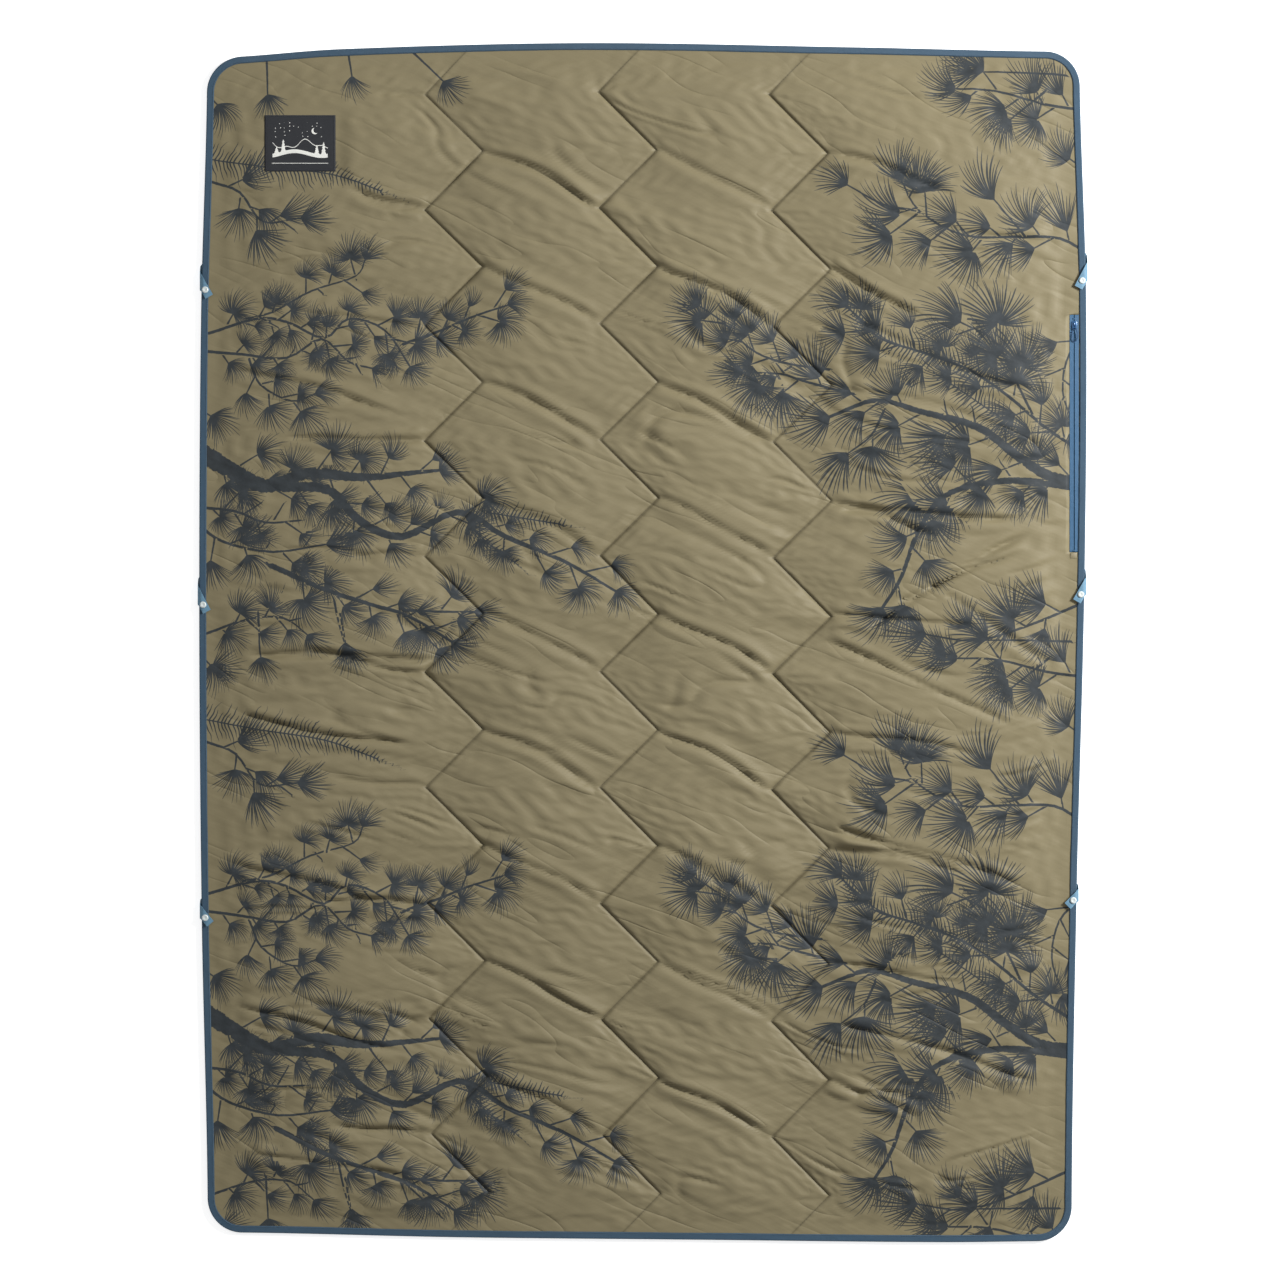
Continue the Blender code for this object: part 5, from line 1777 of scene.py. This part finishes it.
def make_tabs(sizes, colours):
    webbing = tape_finish("tab_webbing", colours.webbing, 0.0012, 0.55, ribs_along=True)
    resin = resin_finish(colours)
    metal = metal_finish()
    for name, side, snap_y, degrees in TABS:
        edge = edge_x(side, snap_y)
        places = webbing_rows(edge, side, snap_y, math.radians(degrees))
        count = places.shape[1]
        mesh, i, j = grid_mesh(f"tab_{name}_webbing", places)
        lengths = np.linalg.norm(np.diff(places[:, count // 2], axis=0), axis=1)
        along = np.concatenate([[0.0], np.cumsum(lengths)])
        store_cloth(mesh, along[j], i * WEBBING_WIDTH / (count - 1))
        made = linked(f"tab_{name}_webbing", mesh)
        thicken(made, WEBBING * 0.95, 0.0)
        shape = bmesh.new()
        shape.from_mesh(made.data)
        bmesh.ops.recalc_face_normals(shape, faces=shape.faces)
        shape.to_mesh(made.data)
        shape.free()
        made.data.materials.clear()
        made.data.materials.append(webbing)
        made.data.shade_smooth()
        made.data.set_sharp_from_angle(angle=math.radians(50))
        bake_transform(made)
        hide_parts(f"tab_{name}_strap", f"tab_{name}_root")
        snap = (edge - side * SNAP_INSET, snap_y)
        for piece, node, slot, profile in SNAP_PIECES:
            made = spun(f"tab_{name}_snap_{piece}", profile, snap)
            finish = resin if slot == "snap_resin" else metal
            body = f"tab_{name}" if piece in ("cap", "socket") else "root"
            dress(made, finish, slot, body, [f"tab_{name}_{node}"])


def resin_finish(colours):
    finish = Finish("snap_resin", colours.cap, 0.3, Coat_Weight=0.3, Subsurface_Weight=0.05)
    cloud = finish.noise(finish.place(), 500.0, 2.0)
    finish.feed("Base Color", finish.shade(finish.colour, 0.92 + 0.12 * cloud))
    finish.feed("Roughness", 0.24 + 0.14 * cloud)
    return finish.material


def metal_finish():
    finish = Finish("snap_steel", tint("B9BBBC"), 0.3, Metallic=1.0)
    scratch = finish.noise(finish.place(), 1400.0, 3.0, 0.7)
    finish.feed("Base Color", finish.shade(finish.colour, 0.85 + 0.2 * scratch))
    finish.feed("Roughness", 0.25 + 0.3 * scratch)
    return finish.material


def make_pocket(sizes, colours):
    """The pocket's two panels, just under the face fabric beside the zip."""
    low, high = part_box("pocket_back")
    x, y = np.meshgrid(np.linspace(low.x, high.x, 79), np.linspace(low.y, high.y, 135))
    above = heights_on_face(x, y)
    above = np.where(x > ZIP_X - WINDOW_HALF - 0.004, LEDGE_TOP, above)
    padded = np.pad(above, 2, mode="edge")
    rows, columns = above.shape
    above = np.min([padded[a:a + rows, b:b + columns] for a in range(5) for b in range(5)], axis=0)
    finish = plain_finish("pocket_weave", colours.lining, 0.75)
    floor = np.where(x > ZIP_X - 0.022, 0.0050, 0.0060)
    panels = (("pocket_front", 0.0010, ZIP_X - WINDOW_HALF - 0.002), ("pocket_back", 0.0024, high.x))
    for node, drop, right in panels:
        keep = x[0] <= right
        z = np.maximum(above - FABRIC - drop, floor - drop * 0.4)
        z = np.where((drop > 0.002) & (x > ZIP_X - 0.016), 0.0046, z)
        places = np.stack([x, y, z], axis=-1)[:, keep]
        mesh, i, j = grid_mesh(f"{node}_cloth", places)
        store_cloth(mesh, places[..., 0][j, i], places[..., 1][j, i])
        made = linked(f"{node}_cloth", mesh)
        thicken(made, FABRIC / 2)
        dress(made, finish, "pocket_fabric", nodes=[node])


# ---------------------------------------------------------------- stage


FLOOR_REACH = 12.0
FLOOR_HEIGHT = -0.0008
LAMPS = (("key", (3.5, 1.6, 2.6), 1.1, 335.0), ("fill", (-1.2, 0.8, 3.6), 2.4, 14.0))
CAMERA_PLACE = (-0.0044, 0.0041, 4.955)
CAMERA_LENS = 85.0


def make_stage():
    shape = bmesh.new()
    bmesh.ops.create_grid(shape, x_segments=1, y_segments=1, size=FLOOR_REACH)
    bmesh.ops.translate(shape, verts=shape.verts, vec=(0, 0, FLOOR_HEIGHT))
    floor = from_bmesh("floor", shape)
    paper = Finish("floor_paper", (0.93, 0.93, 0.93), 0.9)
    paper.shader.inputs["Specular IOR Level"].default_value = 0.0
    grain = paper.noise(paper.place(), 3.0, 2.0)
    paper.feed("Base Color", paper.shade(paper.colour, 0.99 + 0.02 * grain))
    paper.shader.inputs["Emission Color"].default_value = (1.0, 1.0, 1.0, 1.0)
    paper.shader.inputs["Emission Strength"].default_value = 0.6
    floor.data.materials.append(paper.material)

    world = bpy.data.worlds.new("studio")
    world.use_nodes = True
    background = world.node_tree.nodes["Background"]
    background.inputs["Color"].default_value = (1.0, 1.0, 1.0, 1.0)
    background.inputs["Strength"].default_value = 0.34
    bpy.context.scene.world = world

    for name, place, size, power in LAMPS:
        data = bpy.data.lights.new(name, "AREA")
        data.shape = "DISK"
        data.size = size
        data.energy = power
        lamp = bpy.data.objects.new(name, data)
        bpy.context.scene.collection.objects.link(lamp)
        lamp.location = place
        lamp.rotation_euler = (-Vector(place)).to_track_quat("-Z", "Y").to_euler()

    data = bpy.data.cameras.new("camera")
    data.sensor_width = 36.0
    data.lens = CAMERA_LENS
    data.clip_end = 100.0
    camera = bpy.data.objects.new("camera", data)
    bpy.context.scene.collection.objects.link(camera)
    camera.location = CAMERA_PLACE
    bpy.context.scene.camera = camera
    bpy.context.scene.view_settings.view_transform = "Standard"


# ---------------------------------------------------------------- add-on


def settings():
    scene = bpy.context.scene
    return scene.blanket_sizes, scene.blanket_colours


class BlanketOperator:
    """What the operators share: each builds its pieces from the scene's sizes and colours."""

    bl_options = {"REGISTER", "UNDO"}

    def execute(self, context):
        self.build(*settings())
        return {"FINISHED"}


class BLANKET_OT_stage(BlanketOperator, bpy.types.Operator):
    """Set up the floor, lights and camera"""

    bl_idname = "blanket.stage"
    bl_label = "Stage"

    def build(self, sizes, colours):
        make_stage()


class BLANKET_OT_face(BlanketOperator, bpy.types.Operator):
    """Make the quilted and printed face"""

    bl_idname = "blanket.face"
    bl_label = "Face"

    def build(self, sizes, colours):
        make_face(sizes, colours)


class BLANKET_OT_underlayers(BlanketOperator, bpy.types.Operator):
    """Make the lining and the wadding"""

    bl_idname = "blanket.underlayers"
    bl_label = "Lining and wadding"

    def build(self, sizes, colours):
        make_underlayers(sizes, colours)


class BLANKET_OT_binding(BlanketOperator, bpy.types.Operator):
    """Make the folded tape round the edge"""

    bl_idname = "blanket.binding"
    bl_label = "Edge binding"

    def build(self, sizes, colours):
        make_binding(sizes, colours)


class BLANKET_OT_stitching(BlanketOperator, bpy.types.Operator):
    """Sew the binding and the quilting"""

    bl_idname = "blanket.stitching"
    bl_label = "Stitching"

    def build(self, sizes, colours):
        make_stitching(sizes, colours)


class BLANKET_OT_zip(BlanketOperator, bpy.types.Operator):
    """Make the zip's tapes, coils and stops"""

    bl_idname = "blanket.zip"
    bl_label = "Zip"

    def build(self, sizes, colours):
        make_zip(sizes, colours)


class BLANKET_OT_slider(BlanketOperator, bpy.types.Operator):
    """Make the slider and its pull tab"""

    bl_idname = "blanket.slider"
    bl_label = "Slider"

    def build(self, sizes, colours):
        make_slider(sizes, colours)


class BLANKET_OT_pull_cord(BlanketOperator, bpy.types.Operator):
    """Make the cord loop on the pull tab"""

    bl_idname = "blanket.pull_cord"
    bl_label = "Pull cord"

    def build(self, sizes, colours):
        make_pull_cord(sizes, colours)


class BLANKET_OT_pocket(BlanketOperator, bpy.types.Operator):
    """Make the pocket's two panels"""

    bl_idname = "blanket.pocket"
    bl_label = "Pocket"

    def build(self, sizes, colours):
        make_pocket(sizes, colours)


class BLANKET_OT_label(BlanketOperator, bpy.types.Operator):
    """Make the woven label and sew it on"""

    bl_idname = "blanket.label"
    bl_label = "Label"

    def build(self, sizes, colours):
        make_patch(sizes, colours)


class BLANKET_OT_tabs(BlanketOperator, bpy.types.Operator):
    """Make the six snap tabs"""

    bl_idname = "blanket.tabs"
    bl_label = "Snap tabs"

    def build(self, sizes, colours):
        make_tabs(sizes, colours)


OPERATORS = (
    BLANKET_OT_stage, BLANKET_OT_face, BLANKET_OT_underlayers, BLANKET_OT_binding, BLANKET_OT_stitching,
    BLANKET_OT_zip, BLANKET_OT_slider, BLANKET_OT_pull_cord, BLANKET_OT_pocket, BLANKET_OT_label,
    BLANKET_OT_tabs,
)


class BLANKET_PT_panel(bpy.types.Panel):
    bl_idname = "BLANKET_PT_panel"
    bl_label = "Camp Blanket"
    bl_space_type = "VIEW_3D"
    bl_region_type = "UI"
    bl_category = "Camp Blanket"

    def draw(self, context):
        for group in settings():
            for name in group.__annotations__:
                self.layout.prop(group, name)
        for operator in OPERATORS:
            self.layout.operator(operator.bl_idname)


CLASSES = (BlanketSizes, BlanketColours, *OPERATORS, BLANKET_PT_panel)


def register():
    for each in CLASSES:
        bpy.utils.register_class(each)
    bpy.types.Scene.blanket_sizes = PointerProperty(type=BlanketSizes)
    bpy.types.Scene.blanket_colours = PointerProperty(type=BlanketColours)


def unregister():
    del bpy.types.Scene.blanket_colours
    del bpy.types.Scene.blanket_sizes
    for each in reversed(CLASSES):
        bpy.utils.unregister_class(each)


def main():
    register()
    for operator in OPERATORS:
        group, name = operator.bl_idname.split(".")
        getattr(getattr(bpy.ops, group), name)()


if __name__ == "__main__":
    main()
